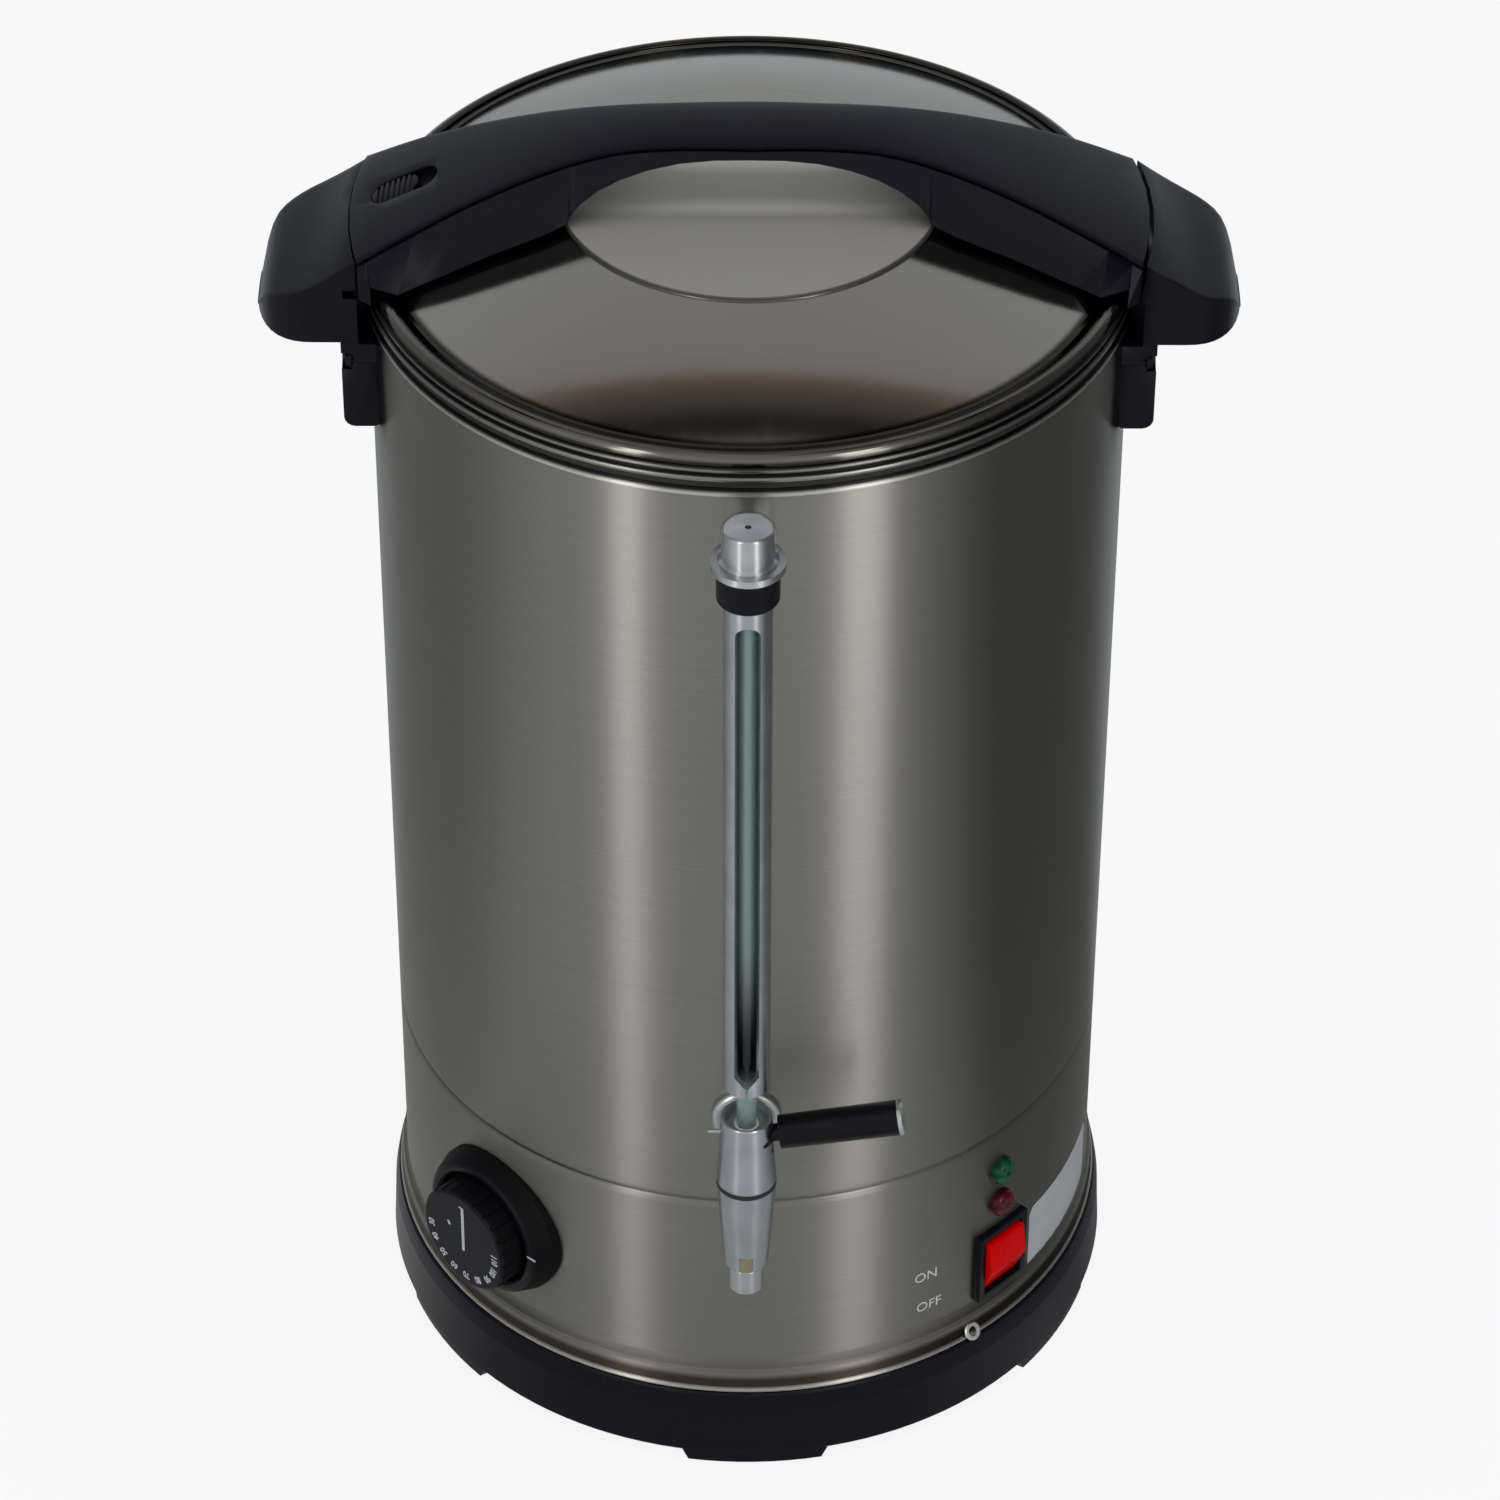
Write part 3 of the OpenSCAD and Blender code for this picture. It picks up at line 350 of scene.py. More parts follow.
def satinCast(name, colour, rough, skin):
    # plated casting with a fine satin skin
    f = Finish(name)
    fine = f.spots(skin, 3, 0.6)
    cloud = f.spots(60, 3)
    base = f.blend(cloud.step(0.3, 0.7), tone(*paler(colour, -14)), tone(*colour))
    wear = f.spots(260, 4, 0.65, shift=(1, 2, 5)).step(0.56, 0.72)
    rough = rough + (fine - 0.5) * 0.12 + wear * 0.08 - cloud * 0.04
    return f.close(base=base, rough=rough, metal=1.0, normal=f.bump(fine, 0.12, 0.00005), grain=0.85,
                   grainTurn=0.25)


steelSet = {"screw": {"colour": (150, 151, 152), "rough": 0.34},
            "darkScrew": {"colour": (46, 46, 49), "rough": 0.6},
            "eyelet": {"colour": (228, 228, 226), "rough": 0.42}}


def plainSteel(name, colour, rough):
    f = Finish(name)
    mill = f.spots(1, 4, 0.65, (60, 60, 1500))
    spot = f.spots(120, 4, 0.6).step(0.5, 0.8)
    base = f.blend(mill, tone(*paler(colour, -12)), tone(*colour))
    base = f.blend(spot * 0.3, base, tone(*paler(colour, -40)))
    rough = rough + (mill - 0.5) * 0.16 + spot * 0.1
    return f.close(base=base, rough=rough, metal=1.0, normal=f.bump(mill, 0.15, 0.00006))


heaterSet = {"dark": (150, 149, 145), "colour": (190, 188, 183), "rough": 0.5}


def heaterAluminium():
    f = Finish("heaterAluminium")
    pits = f.spots(900, 4, 0.6)
    base = f.blend(pits, tone(*heaterSet["dark"]), tone(*heaterSet["colour"]))
    rough = heaterSet["rough"] + (pits - 0.5) * 0.3
    return f.close(base=base, rough=rough, metal=1.0, normal=f.bump(pits, 0.35, 0.0002))


sheathSet = {"heat": {0.3: (92, 84, 80), 0.5: (122, 104, 82), 0.7: (96, 92, 104)}, "rough": 0.42}


def elementSheath():
    # heat has turned the sheath straw to brown
    f = Finish("elementSheath")
    stops = [(place, tone(*colour)) for place, colour in sheathSet["heat"].items()]
    base = f.node("ValToRGB", {"stops": stops}, {0: f.spots(32, 4)})
    fine = f.spots(1400, 3)
    rough = sheathSet["rough"] + (fine - 0.5) * 0.2
    return f.close(base=base, rough=rough, metal=1.0, normal=f.bump(fine, 0.2, 0.00008))


copperSet = {"colour": (176, 112, 70), "patina": (120, 74, 50), "rough": 0.3}


def bulbCopper():
    f = Finish("bulbCopper")
    patina = f.spots(180, 4)
    base = f.blend(patina.step(0.35, 0.75), tone(*copperSet["colour"]), tone(*copperSet["patina"]))
    rough = copperSet["rough"] + patina * 0.15
    return f.close(base=base, rough=rough, metal=1.0, normal=f.bump(patina, 0.1, 0.0001))


dialSet = {"azimuth": -44.5, "height": 0.0975, "face": 0.0205, "bezel": 0.0099,
           "line": (0.0003, -0.0056, 0.0188), "lineWide": 0.0016,
           "head": (0.0026, 0.0009), "headAt": (-0.0007, -0.0005, 0.00002), "headTurn": 82,
           "dotAt": (-0.0083, 0.0052, 0), "dot": 0.0009, "dotTurn": 25,
           "numbers": (30, 110, 10), "first": -95, "step": -22.3, "ring": 0.0191, "lift": 0.00005,
           "letter": {"size": 0.0048, "thick": 0.0001, "stretch": 0.8, "weight": 0.00011},
           "tick": (0.0284, 0.0335), "tickWide": 0.0011, "tickTurn": 85}
mouldedSet = {"colour": (9, 8, 17), "high": (13, 12, 23), "dust": (88, 88, 92), "shade": (1, 1, 3),
              "rough": 0.34, "shine": 0.14}


def mouldedBlack(name, face=None):
    # fine spark-eroded grain, with polish where hands rub; a dial piece gets painted shade below its face
    plan = mouldedSet
    f = Finish(name)
    grain = f.spots(1900, 3, 0.55)
    cells = f.node("TexVoronoi", values={"Vector": f.coords, "Scale": 1150.0})
    cloud = f.spots(22, 3)
    dust = f.spots(420, 4, 0.6, shift=(7, 1, 2)).step(0.6, 0.78)
    base = f.blend(cloud, tone(*plan["colour"]), tone(*plan["high"]))
    base = f.blend(dust * 0.08, base, tone(*plan["dust"]))
    rough = plan["rough"] + (grain - 0.5) * 0.16 - cloud.step(0.45, 0.8) * 0.07
    if face:
        x, y, z = f.parts()
        turn = math.radians(dialSet["azimuth"])
        out = x * math.sin(turn) - (y - bodyAxis.y) * math.cos(turn) - shellOut
        below = 1 - out.step(face - 0.0012, face - 0.0004)
        base = f.blend(below * 0.85, base, tone(*plan["shade"]))
        rough = rough + below * 0.3
    normal = f.bump(grain * 0.6 + cells * 0.4, 0.2, 0.00012)
    return f.close(base=base, rough=rough, normal=normal, shine=plan["shine"])


smoothSet = {"colour": (7, 7, 12), "high": (12, 12, 17), "rough": 0.22, "shine": 0.16}


def smoothBlack():
    f = Finish("smoothBlack")
    haze = f.spots(40, 3)
    scuff = f.spots(1, 4, 0.7, (700, 60, 60)).step(0.6, 0.75)
    base = f.blend(haze, tone(*smoothSet["colour"]), tone(*smoothSet["high"]))
    rough = smoothSet["rough"] + haze * 0.08 + scuff * 0.12
    normal = f.bump(f.spots(500, 2), 0.05, 0.0001)
    return f.close(base=base, rough=rough, normal=normal, shine=smoothSet["shine"])


rockerSet = {"dark": (184, 0, 1), "colour": (208, 1, 2), "rough": 0.24, "shine": 0.05}


def rockerRed():
    f = Finish("rockerRed")
    depth = f.spots(90, 3)
    base = f.blend(depth, tone(*rockerSet["dark"]), tone(*rockerSet["colour"]))
    rough = rockerSet["rough"] + depth * 0.08
    normal = f.bump(f.spots(1300, 2), 0.05, 0.0001)
    return f.close(base=base, rough=rough, normal=normal, shine=rockerSet["shine"])


lampSet = {"azimuth": 45.5, "facets": 8, "rough": 0.2, "shine": 0.22,
           "hub": (0.0006, 0.0022), "rim": (0.0044, 0.006),
           "green": {"height": 0.1245, "dark": (0, 46, 24), "bright": (2, 104, 54)},
           "red": {"height": 0.1065, "dark": (48, 0, 8), "bright": (104, 2, 16)}}


def lampLens(name, height, dark, bright):
    # a cut lens: facets fan out from its middle
    f = Finish(name)
    x, y, z = f.parts()
    azimuth = math.radians(lampSet["azimuth"])
    middleX = shellOut * math.sin(azimuth)
    middleY = bodyAxis.y - shellOut * math.cos(azimuth)
    across = (x - middleX) * math.cos(azimuth) + (y - middleY) * math.sin(azimuth)
    up = z - height
    facet = (up.maths("ARCTAN2", up, across) * lampSet["facets"]).wave() * 0.5 + 0.5
    out = (across * across + up * up).root()
    rim = out.step(*lampSet["rim"])
    base = f.blend(facet * 0.35 + f.spots(300, 2) * 0.4, tone(*dark), tone(*bright))
    base = f.blend(1 - out.step(*lampSet["hub"]), base, tone(*[value // 3 for value in dark]))
    base = f.blend(rim * 0.5, base, tone(*[value // 2 for value in dark]))
    normal = f.bump(facet * (1 - rim), 0.35, 0.0003)
    return f.close(base=base, rough=lampSet["rough"] + facet * 0.08, normal=normal, shine=lampSet["shine"])


glassSet = {"dark": (188, 216, 214), "colour": (208, 232, 230), "rough": 0.03, "clear": 0.75, "bend": 1.47,
            "shade": (18, 36, 36), "shadeBand": (0.236, 0.252, 0.258, 0.318)}


def tubeGlass():
    # greenish glass, with the guard's shade in its lower end
    f = Finish("tubeGlass")
    streak = f.spots(1, 3, 0.6, (500, 500, 8))
    x, y, z = f.parts()
    base = f.blend(streak, tone(*glassSet["dark"]), tone(*glassSet["colour"]))
    base = f.blend(z.band(*glassSet["shadeBand"]), base, tone(*glassSet["shade"]))
    rough = glassSet["rough"] + streak * 0.03
    return f.close(base=base, rough=rough, clear=glassSet["clear"], bend=glassSet["bend"],
                   normal=f.bump(streak, 0.03, 0.0001))


siliconeSet = {"dark": (208, 205, 196), "colour": (224, 222, 214), "rough": 0.55}


def siliconeSeal():
    f = Finish("siliconeSeal")
    milk = f.spots(120, 3)
    base = f.blend(milk, tone(*siliconeSet["dark"]), tone(*siliconeSet["colour"]))
    rough = siliconeSet["rough"] + milk * 0.1
    return f.close(base=base, rough=rough, normal=f.bump(f.spots(1200, 2), 0.1, 0.0001))


rubberSet = {"dark": (12, 12, 13), "colour": (26, 26, 27), "rough": 0.6}


def blackRubber():
    f = Finish("blackRubber")
    grain = f.spots(1500, 3)
    base = f.blend(grain, tone(*rubberSet["dark"]), tone(*rubberSet["colour"]))
    rough = rubberSet["rough"] + (grain - 0.5) * 0.2
    return f.close(base=base, rough=rough, normal=f.bump(grain, 0.2, 0.0001))


finishes = {
    bodySteel(): ["outer_shell"],
    tankSteel(): ["inner_tank", "tank_base", "lid_skirt"],
    lidSteel(): ["lid_dome"],
    satinCast("tapPlate", **castSet["tap"]): ["tap_body", "tap_spout", "glass_guard"],
    satinCast("brightPlate", **castSet["bright"]): ["tap_washer", "lever_cap", "top_fitting", "vent_cap"],
    plainSteel("screwSteel", **steelSet["screw"]): [
        "base_plate", "base_screws", "dial_shaft", "lid_screws", "tap_nut", "valve_stem", "top_nut"],
    plainSteel("darkScrew", **steelSet["darkScrew"]): ["handle_screws", "lever_pin"],
    heaterAluminium(): ["heating_plate"],
    elementSheath(): ["heating_element"],
    bulbCopper(): ["thermostat_bulb"],
    mouldedBlack("mouldedBlack"): [
        "base_ring", "cord_gland", "gland_nut", "switch_housing", "side_handle_left", "side_handle_right",
        "handle_base", "handle_cover", "lock_slider", "guard_collar"],
    mouldedBlack("knobBlack", dialSet["face"]): ["dial_knob"],
    mouldedBlack("bezelBlack", dialSet["bezel"]): ["dial_bezel"],
    smoothBlack(): ["thermal_cutout", "thermostat", "tap_lever", "lever_grip"],
    rockerRed(): ["switch_rocker"],
    lampLens("lampGreen", **lampSet["green"]): ["lamp_green"],
    lampLens("lampRed", **lampSet["red"]): ["lamp_red"],
    tubeGlass(): ["sight_glass"],
    siliconeSeal(): ["terminal_block", "handle_pads", "tap_seals", "glass_seals", "valve_seal"],
    blackRubber(): ["rim_gasket", "tap_ring"],
}
finishOf = {name: material for material, names in finishes.items() for name in names}
for name, material in finishOf.items():
    node = frame["nodes"][name]
    if not node.material_slots:
        node.data.materials.append(material)
    for place in node.material_slots:
        place.material = material
print("finishes on", len(finishOf), "parts")


def dropSelection():
    if bpy.context.object and bpy.context.object.mode != "OBJECT":
        bpy.ops.object.mode_set(mode="OBJECT")
    bpy.ops.object.select_all(action="DESELECT")


def takeUp(piece):
    dropSelection()
    piece.select_set(True)
    bpy.context.view_layer.objects.active = piece


def openUp(piece, kind="VERT"):
    # edit mode, with all of the piece selected
    takeUp(piece)
    bpy.ops.object.mode_set(mode="EDIT")
    bpy.ops.mesh.select_mode(type=kind)
    bpy.ops.mesh.select_all(action="SELECT")


def choosePoints(piece, test):
    # selects vertices by their place
    bpy.ops.object.mode_set(mode="OBJECT")
    mesh = piece.data
    for group in (mesh.vertices, mesh.edges, mesh.polygons):
        group.foreach_set("select", [False] * len(group))
    for point in mesh.vertices:
        point.select = test(point.co)
    bpy.ops.object.mode_set(mode="EDIT")


def thicken(thick):
    # gives a flat open sheet its thickness, with faces outwards
    bpy.ops.mesh.select_all(action="SELECT")
    bpy.ops.mesh.extrude_region_move(TRANSFORM_OT_translate={"value": (0, 0, thick)})
    bpy.ops.mesh.select_all(action="SELECT")
    bpy.ops.mesh.normals_make_consistent(inside=False)
    bpy.ops.object.mode_set(mode="OBJECT")


def useModifier(piece, kind, **settings):
    takeUp(piece)
    modifier = piece.modifiers.new(kind.lower(), kind)
    for key, value in settings.items():
        setattr(modifier, key, value)
    bpy.ops.object.modifier_apply(modifier=modifier.name)


def finishPiece(piece, name, body, material, place=None, smooth=35):
    # puts the place in the mesh, the object at the origin, and the piece on its body
    takeUp(piece)
    if place:
        piece.matrix_world = place @ piece.matrix_world
    bpy.ops.object.transform_apply(location=True, rotation=True, scale=True)
    bpy.ops.object.shade_smooth_by_angle(angle=math.radians(smooth))
    piece.name = name
    piece.data.name = name
    piece.data.materials.clear()
    piece.data.materials.append(material)
    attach(piece, body)


def moved(x, y, z):
    return Matrix.Translation((x, y, z))


def turned(degrees, about="Z"):
    return Matrix.Rotation(math.radians(degrees), 4, about)


def onShell(azimuth, height, out=shellOut):
    # a frame on the shell: x to the right, y up, z outward
    turn = math.radians(azimuth)
    side = Vector((math.cos(turn), math.sin(turn), 0))
    outward = Vector((math.sin(turn), -math.cos(turn), 0))
    matrix = Matrix((side, Vector((0, 0, 1)), outward)).transposed().to_4x4()
    return Matrix.Translation(bodyAxis + outward * out + Vector((0, 0, height))) @ matrix


def wrapRound(piece, azimuth, height, out, lift):
    # bends a flat piece round the body at the radius out, and lifts it off a little
    for point in piece.data.vertices:
        turn = math.radians(azimuth) + point.co.x / out
        far = out + lift + point.co.z
        point.co = bodyAxis + Vector((math.sin(turn) * far, -math.cos(turn) * far, height + point.co.y))


skinSet = {"weld": 0.00002, "flat": 0.4, "smooth": 40}


def softened(node, width, sharp, segments=2):
    # a welded copy of a part with its sharp edges rounded, which stands for it
    source = frame["nodes"][node]
    piece = bpy.data.objects.new(node + "_skin", source.data.copy())
    bpy.context.scene.collection.objects.link(piece)
    openUp(piece)
    bpy.ops.mesh.remove_doubles(threshold=skinSet["weld"])
    bpy.ops.mesh.customdata_custom_splitnormals_clear()
    bpy.ops.mesh.dissolve_limited(angle_limit=math.radians(skinSet["flat"]))
    bpy.ops.object.mode_set(mode="OBJECT")
    useModifier(piece, "BEVEL", width=width, segments=segments, limit_method="ANGLE",
                angle_limit=math.radians(sharp), use_clamp_overlap=True, harden_normals=False)
    slot = [s["material_slot"] for s in frame["record"]["subparts"] if s["node"] == node][0]
    finishPiece(piece, node + "_skin", source["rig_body"], finishOf[node], smooth=skinSet["smooth"])
    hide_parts(node)


# each part's rounding, and the angle in degrees past which an edge takes it
handleEdges = {"side_handle_left": (0.0007, 38), "side_handle_right": (0.0007, 38),
               "handle_base": (0.0009, 38), "handle_cover": (0.0009, 38)}
for name, edges in handleEdges.items():
    softened(name, *edges)
print("handles rounded")


inkSet = {"dial": (196, 200, 208), "legend": (205, 206, 204), "rough": 0.45,
          "thick": 0.00012, "barSides": 20, "letterSteps": 3}


def whitePrint(name, colour):
    # ink that lies a little uneven
    f = Finish(name)
    ink = f.spots(900, 3)
    base = f.blend(ink.step(0.35, 0.7), tone(*paler(colour, -26)), tone(*colour))
    return f.close(base=base, rough=inkSet["rough"] + ink * 0.15, normal=f.bump(ink, 0.1, 0.00005))


dialInk = whitePrint("dialInk", inkSet["dial"])


def printBar(length, wide):
    # a raised bar with rounded ends, lying along y from its middle
    dropSelection()
    bpy.ops.mesh.primitive_circle_add(vertices=inkSet["barSides"], radius=wide / 2, fill_type="NGON")
    bar = bpy.context.object
    openUp(bar)
    reach = (length - wide) / 2
    choosePoints(bar, lambda p: p.y > 1e-6)
    bpy.ops.transform.translate(value=(0, reach, 0))
    choosePoints(bar, lambda p: p.y < -1e-6)
    bpy.ops.transform.translate(value=(0, -reach, 0))
    thicken(inkSet["thick"])
    return bar


def printWord(word, size, thick, stretch=1.0, weight=0.0):
    dropSelection()
    bpy.ops.object.text_add()
    text = bpy.context.object
    text.data.body = word
    text.data.size = size
    text.data.align_x = "CENTER"
    text.data.align_y = "CENTER"
    text.data.extrude = thick / 2
    text.data.offset = weight
    text.data.resolution_u = inkSet["letterSteps"]
    text.scale = (stretch, 1, 1)
    takeUp(text)
    bpy.ops.object.convert(target="MESH")
    piece = bpy.context.object
    bpy.ops.object.transform_apply(location=True, rotation=True, scale=True)
    return piece


def dialPrint(piece, name, place, body="dial"):
    finishPiece(piece, "dial_" + name, body, dialInk, place)


def dialPrints():
    spot = onShell(dialSet["azimuth"], dialSet["height"])
    face = spot @ moved(0, 0, dialSet["face"])
    x, low, high = dialSet["line"]
    dialPrint(printBar(high - low, dialSet["lineWide"]), "pointer", face @ moved(x, (low + high) / 2, 0))
    headX, headY, headUp = dialSet["headAt"]
    dialPrint(printBar(*dialSet["head"]), "pointer_head",
              face @ moved(x + headX, high + headY, headUp) @ turned(dialSet["headTurn"]))
    dialPrint(printBar(dialSet["dot"] * 2.6, dialSet["dot"] * 1.5), "dot",
              face @ moved(*dialSet["dotAt"]) @ turned(dialSet["dotTurn"]))
    start, stop, step = dialSet["numbers"]
    for i, number in enumerate(range(start, stop + 1, step)):
        turn = turned(-dialSet["first"] - i * dialSet["step"]) @ moved(0, dialSet["ring"], dialSet["lift"])
        dialPrint(printWord(str(number), **dialSet["letter"]), "number_%d" % number, face @ turn)
    near, far = dialSet["tick"]
    turn = turned(-dialSet["tickTurn"]) @ moved(0, (near + far) / 2, 0)
    tick = printBar(far - near, dialSet["tickWide"])
    dialPrint(tick, "tick", spot @ moved(0, 0, dialSet["bezel"]) @ turn, "urn")


dialPrints()
print("dial printed")

# each word's azimuth and height on the shell
legendSet = {"on": (30.4, 0.0851), "off": (31.1, 0.0677), "size": 0.0072, "out": 0.15002}
legendInk = whitePrint("legendInk", inkSet["legend"])
for word in ("on", "off"):
    legend = printWord(word.upper(), legendSet["size"], inkSet["thick"])
    wrapRound(legend, *legendSet[word], legendSet["out"], inkSet["thick"] / 2)
    finishPiece(legend, "legend_" + word, "urn", legendInk)
print("legends printed")

# the rocker's edge is rounded in three steps
switchEdges = {"switch_rocker": (0.0006, 30, 3), "switch_housing": (0.0005, 50), "lock_slider": (0.0003, 50)}
for name, edges in switchEdges.items():
    softened(name, *edges)
print("switch and lock rounded")

labelSet = {"from": 53.8, "to": 78, "low": 0.0405, "high": 0.0855, "corner": 0.0024, "thick": 0.00012,
            "lift": 0.00003, "cuts": (24, 12), "dark": (160, 165, 169), "colour": (178, 182, 185)}


def foilLabel():
    # blank silver foil, a little wavy where it was pressed on
    f = Finish("foilLabel")
    wave = f.spots(70, 3)
    base = f.blend(wave, tone(*labelSet["dark"]), tone(*labelSet["colour"]))
    rough = 0.36 + (f.spots(2200, 2) - 0.5) * 0.1
    return f.close(base=base, rough=rough, metal=0.1, normal=f.bump(wave, 0.25, 0.0006))


def foil():
    dropSelection()
    wide = math.radians(labelSet["to"] - labelSet["from"]) * shellOut
    tall = labelSet["high"] - labelSet["low"]
    corner = labelSet["corner"]
    cutsWide, cutsTall = labelSet["cuts"]
    bpy.ops.mesh.primitive_grid_add(x_subdivisions=cutsWide, y_subdivisions=cutsTall, size=1)
    sheet = bpy.context.object
    openUp(sheet)
    bpy.ops.transform.resize(value=(wide, tall, 1))
    choosePoints(sheet, lambda p: abs(p.x) > wide / 2 - 1e-6 and abs(p.y) > tall / 2 - 1e-6)
    bpy.ops.transform.resize(value=(1 - corner / wide, 1 - corner / tall, 1))
    thicken(labelSet["thick"])
    wrapRound(sheet, (labelSet["from"] + labelSet["to"]) / 2, (labelSet["low"] + labelSet["high"]) / 2,
              shellOut, labelSet["lift"])
    finishPiece(sheet, "foil_label", "urn", foilLabel())


foil()
print("label laid")


def turnedLoop(profile, sides):
    # carries a circle through radius and height steps and back to its start
    dropSelection()
    bpy.ops.mesh.primitive_circle_add(vertices=sides, radius=profile[0][0], location=(0, 0, profile[0][1]))
    piece = bpy.context.object
    bpy.ops.object.transform_apply(location=True)
    openUp(piece, "EDGE")
    for (radius, height), (nextRadius, nextHeight) in zip(profile, profile[1:] + profile[:1]):
        bpy.ops.mesh.extrude_region_move(TRANSFORM_OT_translate={"value": (0, 0, nextHeight - height)})
        share = nextRadius / radius
        bpy.ops.transform.resize(value=(share, share, 1), center_override=(0, 0, 0))
    bpy.ops.mesh.select_all(action="SELECT")
    bpy.ops.mesh.remove_doubles(threshold=0.000005)
    bpy.ops.mesh.normals_make_consistent(inside=False)
    bpy.ops.object.mode_set(mode="OBJECT")
    return piece


tipSet = {"at": (0, -0.163, 0), "low": 0.12905, "high": 0.1424, "wide": 0.0070, "flare": 0.0002,
          "bore": 0.0036, "round": 0.0008, "neck": 0.0052, "seat": 0.0049, "lap": 0.0006, "floor": 0.0015,
          "sides": 48}
insertSet = {"size": (0.0052, 0.0008, 0.0084), "at": (0, -0.1713, 0.1477), "edge": 0.0003,
             "dark": (112, 108, 84), "colour": (140, 134, 106)}


def spoutTip():
    # the sleeve on the spout's end, open below and above
    low, high, wide, bore = (tipSet[k] for k in ("low", "high", "wide", "bore"))
    bend, neck, seat, lap, floor = (tipSet[k] for k in ("round", "neck", "seat", "lap", "floor"))
    profile = [(bore, low + bend), (bore + bend * 0.7, low), (wide - bend, low), (wide, low + bend),
               (wide + tipSet["flare"], high - bend), (wide - bend * 0.6, high), (neck, high + lap),
               (seat, high - lap), (seat, low + floor), (bore, low + floor)]
    tip = turnedLoop(profile, tipSet["sides"])
    finishPiece(tip, "spout_tip", "urn", finishOf["vent_cap"], moved(*tipSet["at"]))


def oliveInsert():
    f = Finish("oliveInsert")
    mottle = f.spots(420, 4)
    base = f.blend(mottle, tone(*insertSet["dark"]), tone(*insertSet["colour"]))
    return f.close(base=base, rough=0.4 + mottle * 0.1, normal=f.bump(mottle, 0.15, 0.0001))


def spoutInsert():
    dropSelection()
    bpy.ops.mesh.primitive_cube_add(size=1)
    insert = bpy.context.object
    insert.scale = insertSet["size"]
    bpy.ops.object.transform_apply(scale=True)
    useModifier(insert, "BEVEL", width=insertSet["edge"], segments=2)
    finishPiece(insert, "spout_insert", "urn", oliveInsert(), moved(*insertSet["at"]))


eyeletSet = {"azimuth": 39.0, "height": 0.0432, "out": 0.1536, "tilt": 32, "wide": 0.004, "bore": 0.002,
             "thick": 0.0011, "inRound": 0.0003, "outRound": 0.0006, "sides": 32}


def eyelet():
    # a small ring that leans on the shell's lip
    wide, bore, thick = (eyeletSet[k] for k in ("wide", "bore", "thick"))
    profile = [(bore, 0), (bore, thick * 0.6), (bore + eyeletSet["inRound"], thick),
               (wide - eyeletSet["outRound"], thick), (wide, thick * 0.5), (wide, 0)]
    ring = turnedLoop(profile, eyeletSet["sides"])
    place = onShell(eyeletSet["azimuth"], eyeletSet["height"], eyeletSet["out"])
    place = place @ turned(-eyeletSet["tilt"], "X")
    tin = plainSteel("eyeletTin", **steelSet["eyelet"])
    finishPiece(ring, "lip_eyelet", "urn", tin, place)


spoutTip()
spoutInsert()
eyelet()
print("tip, insert and eyelet set")

# the room as bright metal sees it: pale before and behind the urn, dimmer beside it, a beam overhead
roomSet = {"front": (218, 220, 219), "back": (190, 195, 200), "backFrom": (0.45, 0.68),
           "left": (150, 151, 152), "right": (102, 103, 104), "sidesMeet": (-0.3, 0.3),
           "near": 0.58, "nearEnd": (0.3, 0.9), "besideNear": 0.7, "besideEnd": (0.16, 0.5),
           "haze": (0.55, 0.9), "overhead": (0.62, 0.72), "overheadFrom": (0.1, 0.14),
           "beam": (132, 102, 74), "beamEnd": (0.36, 0.385), "loft": (96, 93, 88), "loftEnd": (0.305, 0.33),
           "ceiling": (26, 26, 28), "ceilingEnd": (0.19, 0.28)}
floorSet = {"seen": (253, 253, 253), "paper": (226, 226, 225), "speck": (222, 222, 221), "lift": 0.9,
            "radius": 7, "sides": 96}
worldSet = {"colour": (248, 249, 250), "diffuse": 0.5, "through": 0.85}


def roomTone(f, across, ahead):
    # the room's tone towards a place, that place's distance, and how far to the front it lies
    far = (across * across + ahead * ahead).root() + 0.0001
    front, side = ahead / far, across / far
    sides = f.blend(side.step(*roomSet["sidesMeet"]), tone(*roomSet["left"]), tone(*roomSet["right"]))
    before = (front - side * 0.16).step(0.1, 0.9)
    room = f.blend(before, sides, tone(*roomSet["front"]))
    room = f.blend((-front).step(*roomSet["backFrom"]), room, tone(*roomSet["back"]))
    return room, far, before


def floorFinish():
    # white where the camera sees it, with the urn's shadow left in
    f = Finish("floorPaper")
    x, y, z = f.parts()
    base = f.blend(f.spots(300, 3), tone(*floorSet["speck"]), tone(*floorSet["paper"]))
    paper = f.node("BsdfDiffuse", values={"Color": base})
    glow = f.node("Emission", values={"Color": tone(*floorSet["seen"]), "Strength": 1.0})
    room, far, before = roomTone(f, x, bodyAxis.y - y)
    dim = roomSet["near"] + far.step(*roomSet["nearEnd"]) * (1 - roomSet["near"])
    beside = 1 + roomSet["besideNear"] * (1 - far.step(*roomSet["besideEnd"]))
    room = f.blend(1.0, room, dim * before + beside * (1 - before), "MULTIPLY")
    mirror = f.node("Emission", values={"Color": room, "Strength": 1.0})
    seen = f.node("LightPath", output="Is Camera Ray")
    glossy = f.node("LightPath", output="Is Glossy Ray")
    mixed = f.node("MixShader", values={0: seen * floorSet["lift"], 1: paper, 2: glow})
    mixed = f.node("MixShader", values={0: glossy, 1: mixed, 2: mirror})
    f.node("OutputMaterial", values={"Surface": mixed})
    return f.material


def makeFloor():
    dropSelection()
    bpy.ops.mesh.primitive_circle_add(vertices=floorSet["sides"], radius=floorSet["radius"], fill_type="NGON")
    floor = bpy.context.object
    floor.name = "floor"
    floor.data.materials.append(floorFinish())


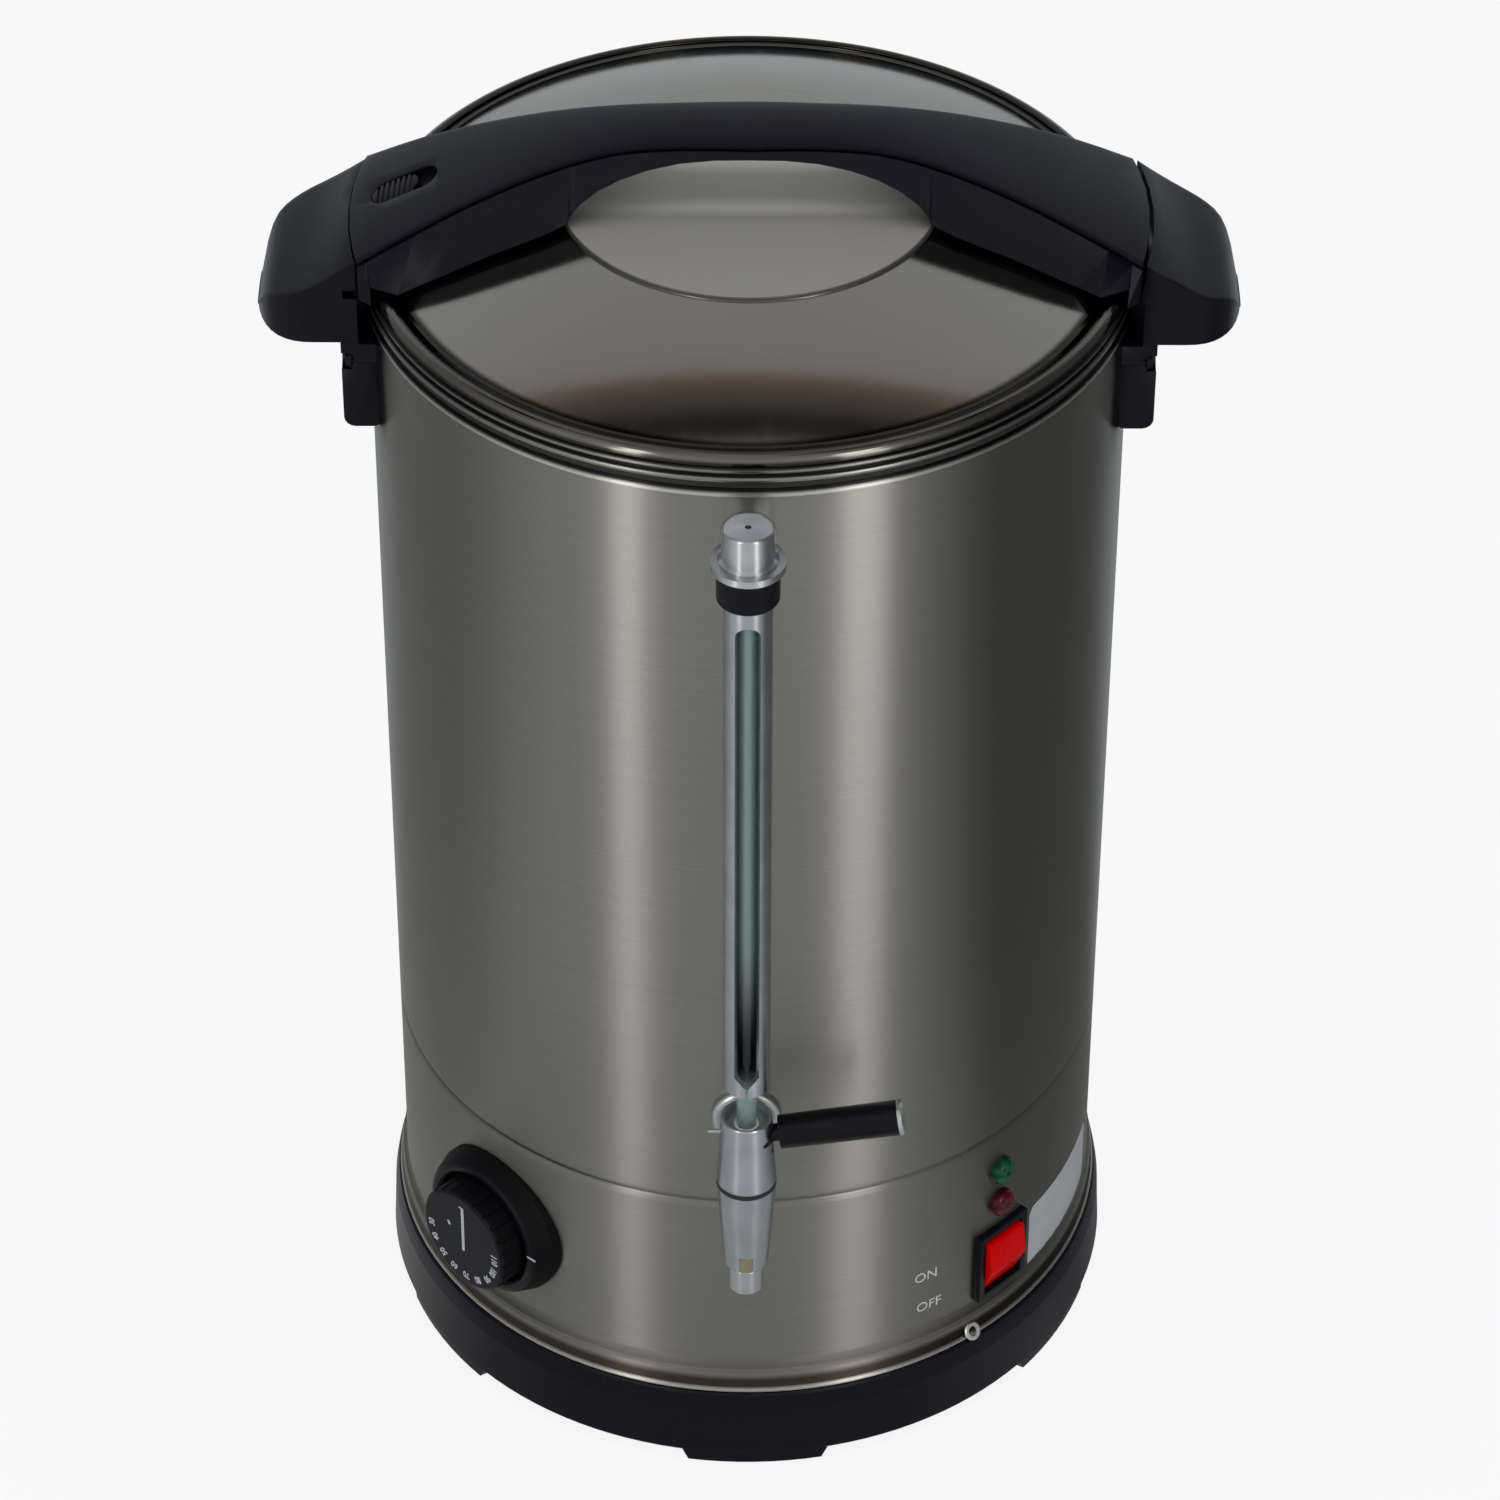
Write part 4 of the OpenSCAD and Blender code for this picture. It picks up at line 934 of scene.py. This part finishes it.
def makeWorld():
    # pale to the camera; metal sees the room, with a dark ceiling and a brown beam before it
    world = bpy.data.worlds.new("studio")
    bpy.context.scene.world = world
    f = Finish("studio", world)
    x, y, z = f.parts()
    room = roomTone(f, x, -y)[0]
    room = f.blend(z.step(*roomSet["haze"]) * 0.25, room, tone(*roomSet["beam"]))
    lean = y / z.maths("MAXIMUM", z, 0.05)
    above = z.step(*roomSet["overhead"]) * lean.step(*roomSet["overheadFrom"])
    for name in ("beam", "loft", "ceiling"):
        room = f.blend(above * (1 - lean.step(*roomSet[name + "End"])), room, tone(*roomSet[name]))
    seen = f.node("LightPath", output="Is Camera Ray")
    glossy = f.node("LightPath", output="Is Glossy Ray")
    through = f.node("LightPath", output="Is Transmission Ray")
    plain = worldSet["diffuse"] * (1 - seen) * (1 - through) + seen + through * worldSet["through"]
    back = f.node("Background", values={"Color": tone(*worldSet["colour"]), "Strength": plain})
    mirror = f.node("Background", values={"Color": room, "Strength": 1.0})
    mixed = f.node("MixShader", values={0: glossy, 1: back, 2: mirror})
    f.node("OutputWorld", values={"Surface": mixed})


lampPlan = {
    "softboxLeft": {"azimuth": -32.5, "far": 1.5, "foot": 0.02, "size": (0.2, 1.9), "power": 4.6,
                    "colour": (1, 0.985, 0.96)},
    "softboxRight": {"azimuth": 31, "far": 1.5, "foot": 0.02, "size": (0.32, 1.9), "power": 6.2,
                     "colour": (1, 0.99, 0.965)},
    "topSheet": {"place": (0, -0.2, 2.4), "aim": (0, 0.017, 0.3), "size": (1.8, 1.4), "power": 20,
                 "colour": (1, 0.995, 0.985)},
}


def makeLamps():
    for name, plan in lampPlan.items():
        data = bpy.data.lights.new(name, "AREA")
        data.shape = "RECTANGLE"
        data.size, data.size_y = plan["size"]
        data.energy = plan["power"]
        data.color = plan["colour"]
        lamp = bpy.data.objects.new(name, data)
        bpy.context.scene.collection.objects.link(lamp)
        lamp.visible_camera = False
        if "azimuth" in plan:
            turn = math.radians(plan["azimuth"])
            middle = plan["foot"] + plan["size"][1] / 2
            lamp.location = (math.sin(turn) * plan["far"], -math.cos(turn) * plan["far"], middle)
            lamp.rotation_euler = (math.radians(90), 0, turn)
        else:
            lamp.location = plan["place"]
            lamp.visible_glossy = False
            lamp.rotation_euler = (Vector(plan["aim"]) - lamp.location).to_track_quat("-Z", "Y").to_euler()


makeFloor()
makeWorld()
makeLamps()
bpy.context.scene.view_settings.view_transform = "Standard"
print("stage and light set")
